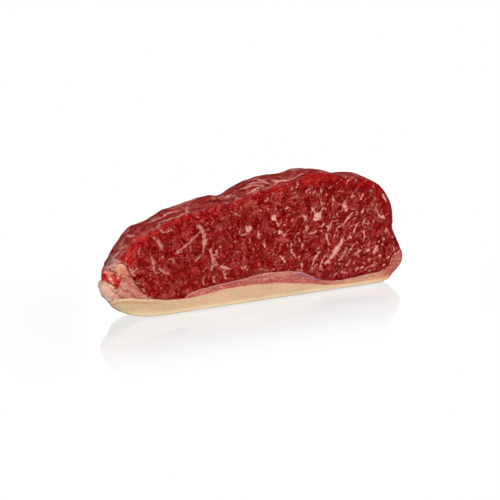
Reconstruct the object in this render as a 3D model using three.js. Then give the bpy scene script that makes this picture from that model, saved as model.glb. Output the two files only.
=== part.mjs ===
// A raw rump steak: one slice cut across the muscle, stood on its straight fat edge.
//
// The slice is a slab. x runs along it from the thin tail to the blunt end, z runs up from the
// floor, and y runs through it from the front cut face to the back one. Its outline and the seams
// between its tissues are lines in the x-z plane, and they meet at a few junctions. Each tissue
// fills the space between a ceiling and a floor made of those lines, runs right through the slab,
// and is one closed mesh. Units are millimetres, +Z is up, and the origin is under the middle of
// the slice, on the surface that it stands on.
import * as THREE from "three";
import { mergeVertices } from "three/addons/utils/BufferGeometryUtils.js";

const { clamp, lerp, smoothstep } = THREE.MathUtils;

// Driving dimensions
const THICKNESS = 25; // between the two cut faces
const GAP = 0.3; // between two tissues that touch
const TIP = 0.9; // height of the blunt tips that each tissue ends in
const MIDDLE = { x: 2.61, y: 0.08 }; // the middle of the slice before it is centred on the origin

// Junctions, [x, z], where two seams meet or a seam comes out at the outline.
const TAIL_TOP = [-98.6, 30.2];
const TAIL_MIDDLE = [-100.7, 25.2];
const TAIL_FOOT = [-96.2, 12.2];
const BLUNT_TOP = [101.8, 21.4];
const BLUNT_FOOT = [96.6, 5.2];
const NUB_LEFT = [-93, 30.2];
const NUB_FOOT = [-88.4, 27];
const NUB_RIGHT = [-82.8, 26.8];
const CONTACT_LEFT = [-66, 11.2];
const CONTACT_RIGHT = [-49.6, 9.1];

// The outline: the outer skin over the lean, then the tail, the foot and the lump of the end.
const CROWN = [
  TAIL_TOP, [-91.6, 36], [-84.6, 42.6], [-78.5, 48], [-70, 52], [-51, 58], [-32, 61.3],
  [-12.7, 65.6], [6, 70.4], [24.2, 73], [35.1, 76.4], [44.6, 76.8], [54, 74.2], [68, 71.4],
  [79.8, 67.7], [87.8, 61.8], [92.9, 54.3], [95.4, 46.7], [95.8, 41.5], [95, 38], [97.2, 31.4],
  BLUNT_TOP,
];
const TAIL_SIDE = [TAIL_TOP, [-99.9, 28], TAIL_MIDDLE];
const TAIL_FOLD = [TAIL_MIDDLE, [-102.2, 20.8], [-100, 16], TAIL_FOOT];
const FOOT = [
  TAIL_FOOT, [-93.2, 8.4], [-88.4, 4.7], [-81.6, 2], [-74, 0.4], [-64, 0], [87, 0], [93.8, 1.8],
  BLUNT_FOOT,
];
const BLUNT_LUMP = [BLUNT_FOOT, [100, 7.6], [102.4, 11.8], [103.2, 16.8], BLUNT_TOP];

// The seams, each named after the tissues above and below it.
const LEAN_ON_MUSCLE = [TAIL_TOP, [-96, 30.6], NUB_LEFT];
const LEAN_ON_NUB = [NUB_LEFT, [-91.6, 32.6], [-89.2, 34.6], [-86.6, 34.4], [-84.6, 31.2], NUB_RIGHT];
const LEAN_ON_TAIL = [NUB_RIGHT, [-79.8, 21], [-75.6, 16], [-71, 13], CONTACT_LEFT];
const LEAN_ON_CAP = [CONTACT_LEFT, [-58, 9.6], CONTACT_RIGHT];
const LEAN_ON_SEAM = [
  CONTACT_RIGHT, [-45.4, 12.2], [-34, 14.2], [-9, 16.6], [3, 18], [20, 17], [29, 15.4], [36, 11.8],
  [45, 7.6], [57, 6.1], [71, 7], [86, 8.6], [91.2, 12.6], [93, 17.4], [96.4, 20], BLUNT_TOP,
];
const NUB_ON_MUSCLE = [NUB_LEFT, [-91, 28.2], NUB_FOOT];
const NUB_ON_TAIL = [NUB_FOOT, [-85.8, 26.4], NUB_RIGHT];
const MUSCLE_ON_TAIL = [
  TAIL_MIDDLE, [-97, 24.1], [-94.6, 23.2], [-92.8, 20.7], [-90.8, 20], [-89.2, 22], [-88.5, 24.6],
  NUB_FOOT,
];
const TAIL_ON_CAP = [TAIL_FOOT, [-92.6, 14.2], [-86, 14], [-76, 12.4], CONTACT_LEFT];
const SEAM_ON_CAP = [
  CONTACT_RIGHT, [-40, 9.7], [-24, 11.3], [-8, 11.8], [10, 10.8], [35, 7], [50, 4.2], [66, 3.6],
  [85, 4.3], BLUNT_FOOT,
];

// How the cut faces turn over at the outline. The front one does so over a broad bevel, widest at
// the tail, and each depth is a share of its width.
const FRONT_BEVEL = { foot: 1.4, tail: 11, blunt: 5, depth: 0.42, along: [-70, 30], above: [5, 24] };
const BACK_BEVEL = { width: 5.5, depth: 0.5 };
const BEVEL_POWER = 1.7;
const CORNER = { low: 1.9, high: 1.2 }; // radius where a cut face meets the outer skin
const BULGE = { low: 2, high: 1.1 }; // how far the outer skin crowns between the cut faces
const SOFTER_BELOW = [36, 16]; // down through these heights both go from high to low
const FACE_RIM = 5; // within this of the outline a tissue's own relief dies away

// The slab is thinner at the tail, and the tail ends sooner at the back.
const TAPER = { share: 0.8, along: [-102, -55] };
const SLANT = { reach: 8.5, along: [-100, -50], band: [-8, 18, 22, 46] };

// The outer skin crowns within a reach of the outline, and the back of it rises and dips in lobes.
const SKIN = { reach: 3.5, lobes: 0.8, stretch: 1.7, above: [2, 10] };
const BACK_LOBES = [
  { x: -77, width: 8, rise: 3.4 },
  { x: -56, width: 7, rise: 1.6 },
  { x: -36, width: 17, rise: 3 },
  { x: -17, width: 5, rise: -2.2 },
  { x: 4, width: 24, rise: 3 },
  { x: 52, width: 14, rise: -3.4 },
];
const LOBE_REACH = { inward: [0, 0.8], above: [30, 58] };

// The swell of the faces: low waves, each shorter and lower than the one before.
const SWELL = { count: 5, length: 44, shrink: 0.68, height: 0.46, fade: 0.78 };
const GOLDEN_ANGLE = Math.PI * (3 - Math.sqrt(5));
const SEEDS = { front: 1, back: 2, skin: 3 };
const SEAM_DRIFT = { height: 1.3, length: 80, band: [2, 9, 22, 40] }; // drift towards the back
const SEAM_DIP_REACH = 3;

// How the lines are traced and how a tissue's stations crowd together where they bend.
const TRACE_STEP = 0.4;
const BEND = { span: 4, weight: 8 };

// The tissues. Each stands proud of the slab's face or back from it, dips towards its seams,
// swells a little, and has its own count of stations along it and rows up it.
const TISSUES = [
  {
    name: "lean_muscle",
    ceiling: [CROWN],
    floor: [LEAN_ON_MUSCLE, LEAN_ON_NUB, LEAN_ON_TAIL, LEAN_ON_CAP, LEAN_ON_SEAM],
    proud: 0.9, dip: 1.3, swell: 1, stations: 78, rows: 15,
    finish: { color: 0x97292a, roughness: 0.38 },
  },
  {
    name: "tail_nub",
    ceiling: [LEAN_ON_NUB],
    floor: [NUB_ON_MUSCLE, NUB_ON_TAIL],
    proud: 1.1, dip: 1.2, swell: 0.6, stations: 9, rows: 4,
    finish: { color: 0xd08a70, roughness: 0.45 },
  },
  {
    name: "tail_muscle",
    ceiling: [LEAN_ON_MUSCLE, NUB_ON_MUSCLE],
    floor: [TAIL_SIDE, MUSCLE_ON_TAIL],
    proud: -0.5, dip: 0.7, swell: 1.2, stations: 16, rows: 4,
    finish: { color: 0xb02a24, roughness: 0.38 },
  },
  {
    name: "tail_fat",
    ceiling: [MUSCLE_ON_TAIL, NUB_ON_TAIL, LEAN_ON_TAIL],
    floor: [TAIL_FOLD, TAIL_ON_CAP],
    proud: 0, dip: 0.5, swell: 1.2, stations: 28, rows: 6,
    finish: { color: 0xc4887a, roughness: 0.48 },
  },
  {
    name: "seam_fat",
    ceiling: [LEAN_ON_SEAM],
    floor: [SEAM_ON_CAP, BLUNT_LUMP],
    proud: -0.2, dip: 0.3, swell: 0.5, stations: 46, rows: 4,
    finish: { color: 0xc07a70, roughness: 0.45 },
  },
  {
    name: "fat_cap",
    ceiling: [TAIL_ON_CAP, LEAN_ON_CAP, SEAM_ON_CAP],
    floor: [FOOT],
    proud: 0.2, dip: 0.5, swell: 0.5, stations: 48, rows: 5,
    finish: { color: 0xe0c09c, roughness: 0.5 },
  },
];
const LAYERS = 4; // cells through the slab

// From 0 to 1 as a value crosses a range.
function ramp(value, [from, to]) {
  return smoothstep(value, from, to);
}

// Up from 0 to 1 over the first pair of values, and back down over the second.
function band(value, [start, full, still, end]) {
  return smoothstep(value, start, full) * (1 - smoothstep(value, still, end));
}

// Points along a smooth line through the drawn ones, none of them under the floor.
function trace(drawn) {
  const curve = new THREE.CatmullRomCurve3(drawn.map(([x, z]) => new THREE.Vector3(x, 0, z)));
  const points = curve.getSpacedPoints(Math.round(curve.getLength() / TRACE_STEP));
  return points.map((p) => new THREE.Vector2(p.x, Math.max(p.z, 0)));
}

const outline = [
  ...trace(CROWN),
  ...trace(BLUNT_LUMP).reverse(),
  ...trace(FOOT).reverse(),
  ...trace(TAIL_FOLD).reverse(),
  ...trace(TAIL_SIDE).reverse(),
];

// A drawn line traced from left to right. A seam is set aside by half the gap: down for the tissue
// below it, where side is -1, and up for the one above, where side is 1.
function border(drawn, side) {
  const line = trace(drawn);
  if ([CROWN, TAIL_SIDE, TAIL_FOLD, FOOT, BLUNT_LUMP].includes(drawn)) return line;
  return line.map((p, i) => {
    const ahead = line[Math.min(i + 1, line.length - 1)];
    const along = ahead.clone().sub(line[Math.max(i - 1, 0)]).setLength((side * GAP) / 2);
    return new THREE.Vector2(p.x - along.y, p.y + along.x);
  });
}

// Points along a line at even steps, where a bend counts as extra length.
function spaced(line, count, bendWeight = 0) {
  const last = line.length - 1;
  const reach = [0];
  for (let i = 1; i <= last; i++) {
    const before = line[i].clone().sub(line[Math.max(i - BEND.span, 0)]);
    const after = line[Math.min(i + BEND.span, last)].clone().sub(line[i]);
    const turn = i < last ? before.angleTo(after) / BEND.span : 0;
    reach.push(reach[i - 1] + line[i].distanceTo(line[i - 1]) + bendWeight * turn);
  }
  const points = [];
  let k = 1;
  for (let i = 0; i <= count; i++) {
    const target = (reach[last] * i) / count;
    while (k < last && reach[k] < target) k++;
    const share = clamp((target - reach[k - 1]) / (reach[k] - reach[k - 1] || 1), 0, 1);
    points.push(line[k - 1].clone().lerp(line[k], share));
  }
  return points;
}

// The distance from a place in the slab's plane to the outline, and the way out to it.
function edgeAt(x, z) {
  let nearest = { distance: Infinity, outX: 0, outZ: 0 };
  for (let i = 1; i < outline.length; i++) {
    const a = outline[i - 1];
    const runX = outline[i].x - a.x;
    const runZ = outline[i].y - a.y;
    const length = Math.hypot(runX, runZ) || 1;
    const share = clamp(((x - a.x) * runX + (z - a.y) * runZ) / (length * length), 0, 1);
    const distance = Math.hypot(x - a.x - runX * share, z - a.y - runZ * share);
    if (distance < nearest.distance) {
      nearest = { distance, outX: -runZ / length, outZ: runX / length };
    }
  }
  return nearest;
}

// The height of the swell at a place, from waves that turn by the golden angle one by one.
function swellAt(x, z, seed) {
  let height = 0;
  for (let k = 0; k < SWELL.count; k++) {
    const length = SWELL.length * SWELL.shrink ** k;
    const heading = k * GOLDEN_ANGLE + seed;
    const along = x * Math.cos(heading) + z * Math.sin(heading);
    height += SWELL.height * SWELL.fade ** k * Math.sin((2 * Math.PI * along) / length + seed * k);
  }
  return height;
}

// How far a bevel sets a face back at a distance from the outline.
function bevelAt(distance, width, depth) {
  return width * depth * Math.max(1 - distance / width, 0) ** BEVEL_POWER;
}

// How far a round corner sets a face back at a distance from the outline.
function cornerAt(distance, radius) {
  return radius * (1 - Math.sqrt(1 - Math.max(1 - distance / radius, 0) ** 2));
}

// A value that goes from high to low towards the foot.
function softened(z, { low, high }) {
  const [top, bottom] = SOFTER_BELOW;
  return lerp(low, high, ramp(z, [bottom, top]));
}

// The y of the front and back faces of a tissue at a place in the slab's plane.
function facesAt(x, z, edgeDistance, seamDistance, tissue) {
  const half = (THICKNESS / 2) * lerp(TAPER.share, 1, ramp(x, TAPER.along));
  const upperBevel = lerp(FRONT_BEVEL.tail, FRONT_BEVEL.blunt, ramp(x, FRONT_BEVEL.along));
  const frontBevel = lerp(FRONT_BEVEL.foot, upperBevel, ramp(z, FRONT_BEVEL.above));
  const inner = ramp(edgeDistance, [0, FACE_RIM]);
  const dip = tissue.dip * Math.max(1 - seamDistance / SEAM_DIP_REACH, 0) ** 2;
  const lift = (tissue.proud - dip) * inner;
  const swell = tissue.swell * inner;
  const corner = cornerAt(edgeDistance, softened(z, CORNER));
  return {
    front: -half - lift - swell * swellAt(x, z, SEEDS.front)
      + bevelAt(edgeDistance, frontBevel, FRONT_BEVEL.depth) + corner,
    back: half + lift + swell * swellAt(x, z, SEEDS.back)
      - bevelAt(edgeDistance, BACK_BEVEL.width, BACK_BEVEL.depth) - corner,
  };
}

// How far the lobes raise the outer skin at a place, all of it towards the back.
function lobeRise(x, z, depth) {
  const reach = ramp(depth, LOBE_REACH.inward) * ramp(z, LOBE_REACH.above);
  return BACK_LOBES.reduce(
    (sum, lobe) => sum + reach * lobe.rise * Math.exp(-(((x - lobe.x) / lobe.width) ** 2)), 0,
  );
}

// A place in the slab, given by x, z and the share of the way through it, as a point in space.
// What moves it sideways depends on its depth alone, so that neighbouring tissues move alike.
function placed(x, z, through, seamDistance, tissue) {
  const edge = edgeAt(x, z);
  const { front, back } = facesAt(x, z, edge.distance, seamDistance, tissue);
  const y = lerp(front, back, through);
  const depth = y / THICKNESS + 0.5;
  const skin = Math.max(4 * depth * (1 - depth), 0) * Math.max(1 - edge.distance / SKIN.reach, 0)
    * ramp(z, SKIN.above);
  const lobes = SKIN.lobes * swellAt(x + z, y * SKIN.stretch, SEEDS.skin);
  const out = skin * (softened(z, BULGE) + lobes);
  const drift = SEAM_DRIFT.height * Math.sin((2 * Math.PI * x) / SEAM_DRIFT.length) * depth
    * band(z, SEAM_DRIFT.band);
  const slant = SLANT.reach * depth * (1 - ramp(x, SLANT.along)) * band(z, SLANT.band);
  return new THREE.Vector3(
    x + slant + edge.outX * out - MIDDLE.x,
    y - MIDDLE.y,
    z + drift + edge.outZ * out + lobeRise(x, z, depth),
  );
}

// The stations of a tissue: matching points on its floor and its ceiling, from the first place
// where they stand a tip's height apart to the last.
function stationsOf(tissue) {
  const upperLine = tissue.ceiling.flatMap((drawn) => border(drawn, -1));
  const lowerLine = tissue.floor.flatMap((drawn) => border(drawn, 1));
  const upperFine = spaced(upperLine, lowerLine.length);
  const lowerFine = spaced(lowerLine, lowerLine.length);
  const isOpen = (p, i) => p.distanceTo(lowerFine[i]) >= TIP;
  const first = upperFine.findIndex(isOpen);
  const end = upperFine.findLastIndex(isOpen) + 1;
  const upper = spaced(upperFine.slice(first, end), tissue.stations, BEND.weight);
  const lower = spaced(lowerFine.slice(first, end), tissue.stations, BEND.weight);
  const isSeam = (p) => edgeAt(p.x, p.y).distance > GAP;
  return upper.map((top, i) => ({
    top,
    bottom: lower[i],
    height: top.distanceTo(lower[i]),
    seamAbove: isSeam(top),
    seamBelow: isSeam(lower[i]),
  }));
}

// One tissue as a closed mesh: a box of cells whose columns stand between floor and ceiling, with
// rows that crowd together at both.
function tissueMesh(tissue) {
  const stations = stationsOf(tissue);
  const geometry = new THREE.BoxGeometry(1, 1, 1, tissue.stations, LAYERS, tissue.rows);
  const position = geometry.attributes.position;
  for (let v = 0; v < position.count; v++) {
    const station = stations[Math.round((position.getX(v) + 0.5) * tissue.stations)];
    const through = position.getY(v) + 0.5;
    const share = (1 - Math.cos(Math.PI * (position.getZ(v) + 0.5))) / 2;
    const spot = station.bottom.clone().lerp(station.top, share);
    const toCeiling = station.seamAbove ? station.height * (1 - share) : Infinity;
    const toFloor = station.seamBelow ? station.height * share : Infinity;
    const point = placed(spot.x, spot.y, through, Math.min(toCeiling, toFloor), tissue);
    position.setXYZ(v, point.x, point.y, point.z);
  }
  geometry.deleteAttribute("normal");
  geometry.deleteAttribute("uv");
  const closed = mergeVertices(geometry);
  closed.computeVertexNormals();
  const material = new THREE.MeshStandardMaterial({ metalness: 0, ...tissue.finish });
  const mesh = new THREE.Mesh(closed, material);
  mesh.name = tissue.name;
  return mesh;
}

const steak = new THREE.Group();
steak.add(...TISSUES.map(tissueMesh));

export default steak;
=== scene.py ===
"""A raw rump steak on its fat edge, dressed for a studio picture.

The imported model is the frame. Each tissue of the slice is built again on the same lines as a fine
skin, marked with what its finish follows, given its raw surface, and put in its node's place.
The slice is drawn in millimetres in its own plane: x runs along it from the thin tail to the
blunt end, z up from the floor, and y through it from the front cut face to the back one.
"""

import logging
import math
from dataclasses import dataclass
from enum import Enum
from functools import lru_cache

import bpy
import numpy as np
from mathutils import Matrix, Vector


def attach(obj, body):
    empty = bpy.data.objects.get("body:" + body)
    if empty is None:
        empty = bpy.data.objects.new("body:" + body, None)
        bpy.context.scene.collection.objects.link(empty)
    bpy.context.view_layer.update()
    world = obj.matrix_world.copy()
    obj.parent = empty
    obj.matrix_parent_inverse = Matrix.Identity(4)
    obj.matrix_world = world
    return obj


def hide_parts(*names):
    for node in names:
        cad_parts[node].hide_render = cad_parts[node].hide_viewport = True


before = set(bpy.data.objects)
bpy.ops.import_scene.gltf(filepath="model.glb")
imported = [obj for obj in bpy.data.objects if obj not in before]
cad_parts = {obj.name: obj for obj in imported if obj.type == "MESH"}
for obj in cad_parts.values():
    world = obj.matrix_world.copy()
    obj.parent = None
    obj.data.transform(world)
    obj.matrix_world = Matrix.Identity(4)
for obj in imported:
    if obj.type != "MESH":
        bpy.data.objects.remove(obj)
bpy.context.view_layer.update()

LOG = logging.getLogger("steak")
MM = 0.001
GOLDEN_ANGLE = math.pi * (3 - math.sqrt(5))

Point = tuple[float, float]
Line = tuple[Point, ...]
Colour = tuple[float, float, float]
Marks = dict[str, np.ndarray]
Socket = bpy.types.NodeSocket


def tone(red: float, green: float, blue: float) -> Colour:
    """A colour as a shader takes it, from the 8-bit values that a screen shows."""
    return tuple(
        v / 12.92 if v <= 0.04045 else ((v + 0.055) / 1.055) ** 2.4
        for v in (red / 255, green / 255, blue / 255)
    )


def ramp(value: np.ndarray, span: Point) -> np.ndarray:
    """From 0 to 1, smoothly, as a value crosses a span."""
    share = np.clip((value - span[0]) / (span[1] - span[0]), 0, 1)
    return share * share * (3 - 2 * share)


def band(value: np.ndarray, spans: tuple[float, float, float, float]) -> np.ndarray:
    """Up from 0 to 1 over the first pair of values, and back down over the second."""
    return ramp(value, spans[:2]) * (1 - ramp(value, spans[2:]))


class EdgeKind(Enum):
    """Where a drawn line lies."""

    OUTLINE = "outline"
    SEAM = "seam"


class Side(Enum):
    """Which side of a seam a tissue lies on."""

    BELOW = -1
    ABOVE = 1


@dataclass(frozen=True)
class Edge:
    """A drawn line between two junctions."""

    kind: EdgeKind
    points: Line


# Junctions, where two seams meet or a seam comes out at the outline.
TAIL_TOP = (-98.6, 30.2)
TAIL_MIDDLE = (-100.7, 25.2)
TAIL_FOOT = (-96.2, 12.2)
BLUNT_TOP = (101.8, 21.4)
BLUNT_FOOT = (96.6, 5.2)
NUB_LEFT = (-93, 30.2)
NUB_FOOT = (-88.4, 27)
NUB_RIGHT = (-82.8, 26.8)
CONTACT_LEFT = (-66, 11.2)
CONTACT_RIGHT = (-49.6, 9.1)

# The outline: the outer skin over the lean, the tail, the foot and the lump of the blunt end.
CROWN = Edge(EdgeKind.OUTLINE, (
    TAIL_TOP, (-91.6, 36), (-84.6, 42.6), (-78.5, 48), (-70, 52), (-51, 58), (-32, 61.3),
    (-12.7, 65.6), (6, 70.4), (24.2, 73), (35.1, 76.4), (44.6, 76.8), (54, 74.2), (68, 71.4),
    (79.8, 67.7), (87.8, 61.8), (92.9, 54.3), (95.4, 46.7), (95.8, 41.5), (95, 38), (97.2, 31.4),
    BLUNT_TOP,
))
TAIL_SIDE = Edge(EdgeKind.OUTLINE, (TAIL_TOP, (-99.9, 28), TAIL_MIDDLE))
TAIL_FOLD = Edge(EdgeKind.OUTLINE, (TAIL_MIDDLE, (-102.2, 20.8), (-100, 16), TAIL_FOOT))
FOOT = Edge(EdgeKind.OUTLINE, (
    TAIL_FOOT, (-93.2, 8.4), (-88.4, 4.7), (-81.6, 2), (-74, 0.4), (-64, 0), (87, 0),
    (93.8, 1.8), BLUNT_FOOT,
))
BLUNT_LUMP = Edge(
    EdgeKind.OUTLINE, (BLUNT_FOOT, (100, 7.6), (102.4, 11.8), (103.2, 16.8), BLUNT_TOP)
)

# The seams, each named after the tissues above and below it.
LEAN_ON_MUSCLE = Edge(EdgeKind.SEAM, (TAIL_TOP, (-96, 30.6), NUB_LEFT))
LEAN_ON_NUB = Edge(EdgeKind.SEAM, (
    NUB_LEFT, (-91.6, 32.6), (-89.2, 34.6), (-86.6, 34.4), (-84.6, 31.2), NUB_RIGHT,
))
LEAN_ON_TAIL = Edge(
    EdgeKind.SEAM, (NUB_RIGHT, (-79.8, 21), (-75.6, 16), (-71, 13), CONTACT_LEFT)
)
LEAN_ON_CAP = Edge(EdgeKind.SEAM, (CONTACT_LEFT, (-58, 9.6), CONTACT_RIGHT))
LEAN_ON_SEAM = Edge(EdgeKind.SEAM, (
    CONTACT_RIGHT, (-45.4, 12.2), (-34, 14.2), (-9, 16.6), (3, 18), (20, 17), (29, 15.4),
    (36, 11.8), (45, 7.6), (57, 6.1), (71, 7), (86, 8.6), (91.2, 12.6), (93, 17.4), (96.4, 20),
    BLUNT_TOP,
))
NUB_ON_MUSCLE = Edge(EdgeKind.SEAM, (NUB_LEFT, (-91, 28.2), NUB_FOOT))
NUB_ON_TAIL = Edge(EdgeKind.SEAM, (NUB_FOOT, (-85.8, 26.4), NUB_RIGHT))
MUSCLE_ON_TAIL = Edge(EdgeKind.SEAM, (
    TAIL_MIDDLE, (-97, 24.1), (-94.6, 23.2), (-92.8, 20.7), (-90.8, 20), (-89.2, 22),
    (-88.5, 24.6), NUB_FOOT,
))
TAIL_ON_CAP = Edge(
    EdgeKind.SEAM, (TAIL_FOOT, (-92.6, 14.2), (-86, 14), (-76, 12.4), CONTACT_LEFT)
)
SEAM_ON_CAP = Edge(EdgeKind.SEAM, (
    CONTACT_RIGHT, (-40, 9.7), (-24, 11.3), (-8, 11.8), (10, 10.8), (35, 7), (50, 4.2),
    (66, 3.6), (85, 4.3), BLUNT_FOOT,
))


def smooth_path(points: Line, step: float) -> np.ndarray:
    """Points at even steps along a smooth line through drawn ones.

    Args:
        points: The drawn points.
        step: The length of a step.

    Returns:
        An array of points, one a row.
    """
    drawn = np.array(points, float)
    ends = np.vstack([2 * drawn[0] - drawn[1], drawn, 2 * drawn[-1] - drawn[-2]])
    share = np.linspace(0, 1, 33)[:-1, None]
    parts = []
    for p0, p1, p2, p3 in zip(ends, ends[1:], ends[2:], ends[3:]):
        d0, d1, d2 = (math.dist(a, b) ** 0.5 for a, b in ((p0, p1), (p1, p2), (p2, p3)))
        leave = d1 * ((p1 - p0) / d0 - (p2 - p0) / (d0 + d1) + (p2 - p1) / d1)
        reach = d1 * ((p2 - p1) / d1 - (p3 - p1) / (d1 + d2) + (p3 - p2) / d2)
        bend = 3 * (p2 - p1) - 2 * leave - reach
        turn = 2 * (p1 - p2) + leave + reach
        parts.append(p1 + share * (leave + share * (bend + share * turn)))
    fine = np.vstack([*parts, drawn[-1:]])
    run = np.concatenate([[0], np.cumsum(np.hypot(*np.diff(fine, axis=0).T))])
    at = np.linspace(0, run[-1], max(round(run[-1] / step), 1) + 1)
    return np.column_stack([np.interp(at, run, fine[:, i]) for i in (0, 1)])


@lru_cache(maxsize=None)
def trace(edge: Edge) -> np.ndarray:
    """A drawn line as closely spaced points, none of them under the floor."""
    line = smooth_path(edge.points, 0.4)
    line[:, 1] = np.maximum(line[:, 1], 0)
    return line


@lru_cache(maxsize=None)
def outline() -> np.ndarray:
    """The closed outline of the slice."""
    return np.vstack([
        trace(CROWN), trace(BLUNT_LUMP)[::-1], trace(FOOT)[::-1], trace(TAIL_FOLD)[::-1],
        trace(TAIL_SIDE)[::-1],
    ])


def spaced(line: np.ndarray, count: int, bend_weight: float = 0) -> np.ndarray:
    """Points along a line at even steps, where a bend counts as extra length.

    Args:
        line: The line's points.
        count: The number of steps.
        bend_weight: The length that a bend of one radian counts as.

    Returns:
        One point more than there are steps.
    """
    span, last = 4, len(line) - 1
    at = np.arange(1, last)
    before = line[at] - line[np.maximum(at - span, 0)]
    after = line[np.minimum(at + span, last)] - line[at]
    size = np.hypot(*before.T) * np.hypot(*after.T)
    cosine = np.where(size > 0, np.sum(before * after, axis=1) / np.where(size > 0, size, 1), 0)
    turn = np.append(np.arccos(np.clip(cosine, -1, 1)) / span, 0)
    run = np.hypot(*np.diff(line, axis=0).T) + bend_weight * turn
    reach = np.concatenate([[0], np.cumsum(run)])
    target = np.linspace(0, reach[-1], count + 1)
    return np.column_stack([np.interp(target, reach, line[:, i]) for i in (0, 1)])


@dataclass(frozen=True)
class EdgeReading:
    """What places in the slab's plane say about the outline near them."""

    distance: np.ndarray
    out_x: np.ndarray
    out_z: np.ndarray
    around: np.ndarray


def edge_at(x: np.ndarray, z: np.ndarray) -> EdgeReading:
    """Measures the outline near places in the slab's plane.

    Args:
        x: The places along the slice.
        z: Their heights.

    Returns:
        The distance to the outline, the way out to it, and how far round it the nearest part is.
    """
    line = outline()
    start, run = line[:-1], np.diff(line, axis=0)
    length = np.hypot(*run.T)
    start, run, length = (v[length > 0] for v in (start, run, length))
    round_at = np.concatenate([[0], np.cumsum(length)[:-1]])
    rows = []
    for part in np.array_split(np.arange(len(x)), len(x) // 4000 + 1):
        dx = x[part, None] - start[:, 0]
        dz = z[part, None] - start[:, 1]
        share = np.clip((dx * run[:, 0] + dz * run[:, 1]) / length**2, 0, 1)
        gap = np.hypot(dx - share * run[:, 0], dz - share * run[:, 1])
        k = np.argmin(gap, axis=1)
        at = np.arange(len(part))
        rows.append(np.column_stack([
            gap[at, k], -run[k, 1] / length[k], run[k, 0] / length[k],
            round_at[k] + share[at, k] * length[k],
        ]))
    return EdgeReading(*np.vstack(rows).T)


def swell_at(x: np.ndarray, z: np.ndarray, seed: float) -> np.ndarray:
    """The height of the swell at a place, from waves that turn by the golden angle one by one."""
    height = np.zeros_like(x)
    for k in range(5):
        heading = k * GOLDEN_ANGLE + seed
        along = x * math.cos(heading) + z * math.sin(heading)
        height += 0.46 * 0.78**k * np.sin(2 * math.pi * along / (44 * 0.68**k) + seed * k)
    return height


@dataclass(frozen=True)
class SliceForm:
    """The slab that all the tissues share: how places in its plane become points in space."""

    thickness: float = 25
    overlap: float = 0.22
    tip: float = 0.9
    middle: Point = (2.61, 0.08)
    bevel_foot: float = 1.4
    bevel_depth: float = 0.42
    back_bevel: Point = (5.5, 0.5)
    corner: Point = (1.9, 1.2)
    bulge: Point = (2, 1.1)
    face_rim: float = 5
    slant: float = 8.5
    lobes: tuple[tuple[float, float, float], ...] = (
        (-77, 8, 3.4), (-56, 7, 1.6), (-36, 17, 3), (-17, 5, -2.2), (4, 24, 3), (52, 14, -3.4),
    )

    def border(self, edge: Edge, side: Side) -> np.ndarray:
        """A drawn line for a tissue on one side of it. A seam moves so that tissues overlap."""
        line = trace(edge)
        if edge.kind is EdgeKind.OUTLINE:
            return line
        along = np.vstack([line[1:], line[-1:]]) - np.vstack([line[:1], line[:-1]])
        along *= -side.value * self.overlap / 2 / np.hypot(*along.T)[:, None]
        return line + np.column_stack([-along[:, 1], along[:, 0]])

    def softened(self, z: np.ndarray, span: Point) -> np.ndarray:
        """A value that goes from the second of two to the first towards the foot."""
        return span[0] + (span[1] - span[0]) * ramp(z, (16, 36))

    def faces(
        self, x: np.ndarray, z: np.ndarray, edge: np.ndarray, seam: np.ndarray, tissue: "Tissue"
    ) -> tuple[np.ndarray, np.ndarray]:
        """The y of a tissue's two cut faces.

        Args:
            x: Places along the slice.
            z: Their heights.
            edge: Their distance to the outline.
            seam: Their distance to the tissue's nearest seam.
            tissue: The tissue.

        Returns:
            The y of the front face and of the back one.
        """
        half = self.thickness / 2 * (0.8 + 0.2 * ramp(x, (-102, -55)))
        upper = 11 - 6 * ramp(x, (-70, 30))
        width = self.bevel_foot + (upper - self.bevel_foot) * ramp(z, (5, 24))
        inner = ramp(edge, (0, self.face_rim))
        dip = tissue.dip * np.maximum(1 - seam / 3, 0) ** 2
        lift = (tissue.proud - dip) * inner
        swell = tissue.swell * inner
        front_bevel = width * self.bevel_depth * np.maximum(1 - edge / width, 0) ** 1.7
        back_width, back_depth = self.back_bevel
        back_bevel = back_width * back_depth * np.maximum(1 - edge / back_width, 0) ** 1.7
        radius = self.softened(z, self.corner)
        corner = radius * (1 - np.sqrt(1 - np.maximum(1 - edge / radius, 0) ** 2))
        front = -half - lift - swell * swell_at(x, z, 1) + front_bevel + corner
        back = half + lift + swell * swell_at(x, z, 2) - back_bevel - corner
        return front, back

    def placed(
        self, x: np.ndarray, z: np.ndarray, y: np.ndarray, edge: EdgeReading, detail: np.ndarray
    ) -> np.ndarray:
        """Points in space, in millimetres, from places in the slab.

        Args:
            x: The places along the slice.
            z: Their heights.
            y: Their place through it.
            edge: What the outline near them is.
            detail: How far a tissue's own outer skin stands out there.

        Returns:
            An array of points, one a row.
        """
        depth = y / self.thickness + 0.5
        skin = np.maximum(4 * depth * (1 - depth), 0) * np.maximum(1 - edge.distance / 3.5, 0)
        skin *= ramp(z, (2, 10))
        out = skin * (self.softened(z, self.bulge) + 0.8 * swell_at(x + z, y * 1.7, 3)) + detail
        drift = 1.3 * np.sin(2 * math.pi * x / 80) * depth * band(z, (2, 9, 22, 40))
        slant = self.slant * depth * (1 - ramp(x, (-100, -50))) * band(z, (-8, 18, 22, 46))
        reach = ramp(depth, (0, 0.8)) * ramp(z, (30, 58))
        rise = reach * sum(h * np.exp(-(((x - at) / w) ** 2)) for at, w, h in self.lobes)
        return np.column_stack([
            x + slant + edge.out_x * out - self.middle[0],
            y - self.middle[1],
            z + drift + edge.out_z * out + rise,
        ])


FORM = SliceForm()


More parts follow.
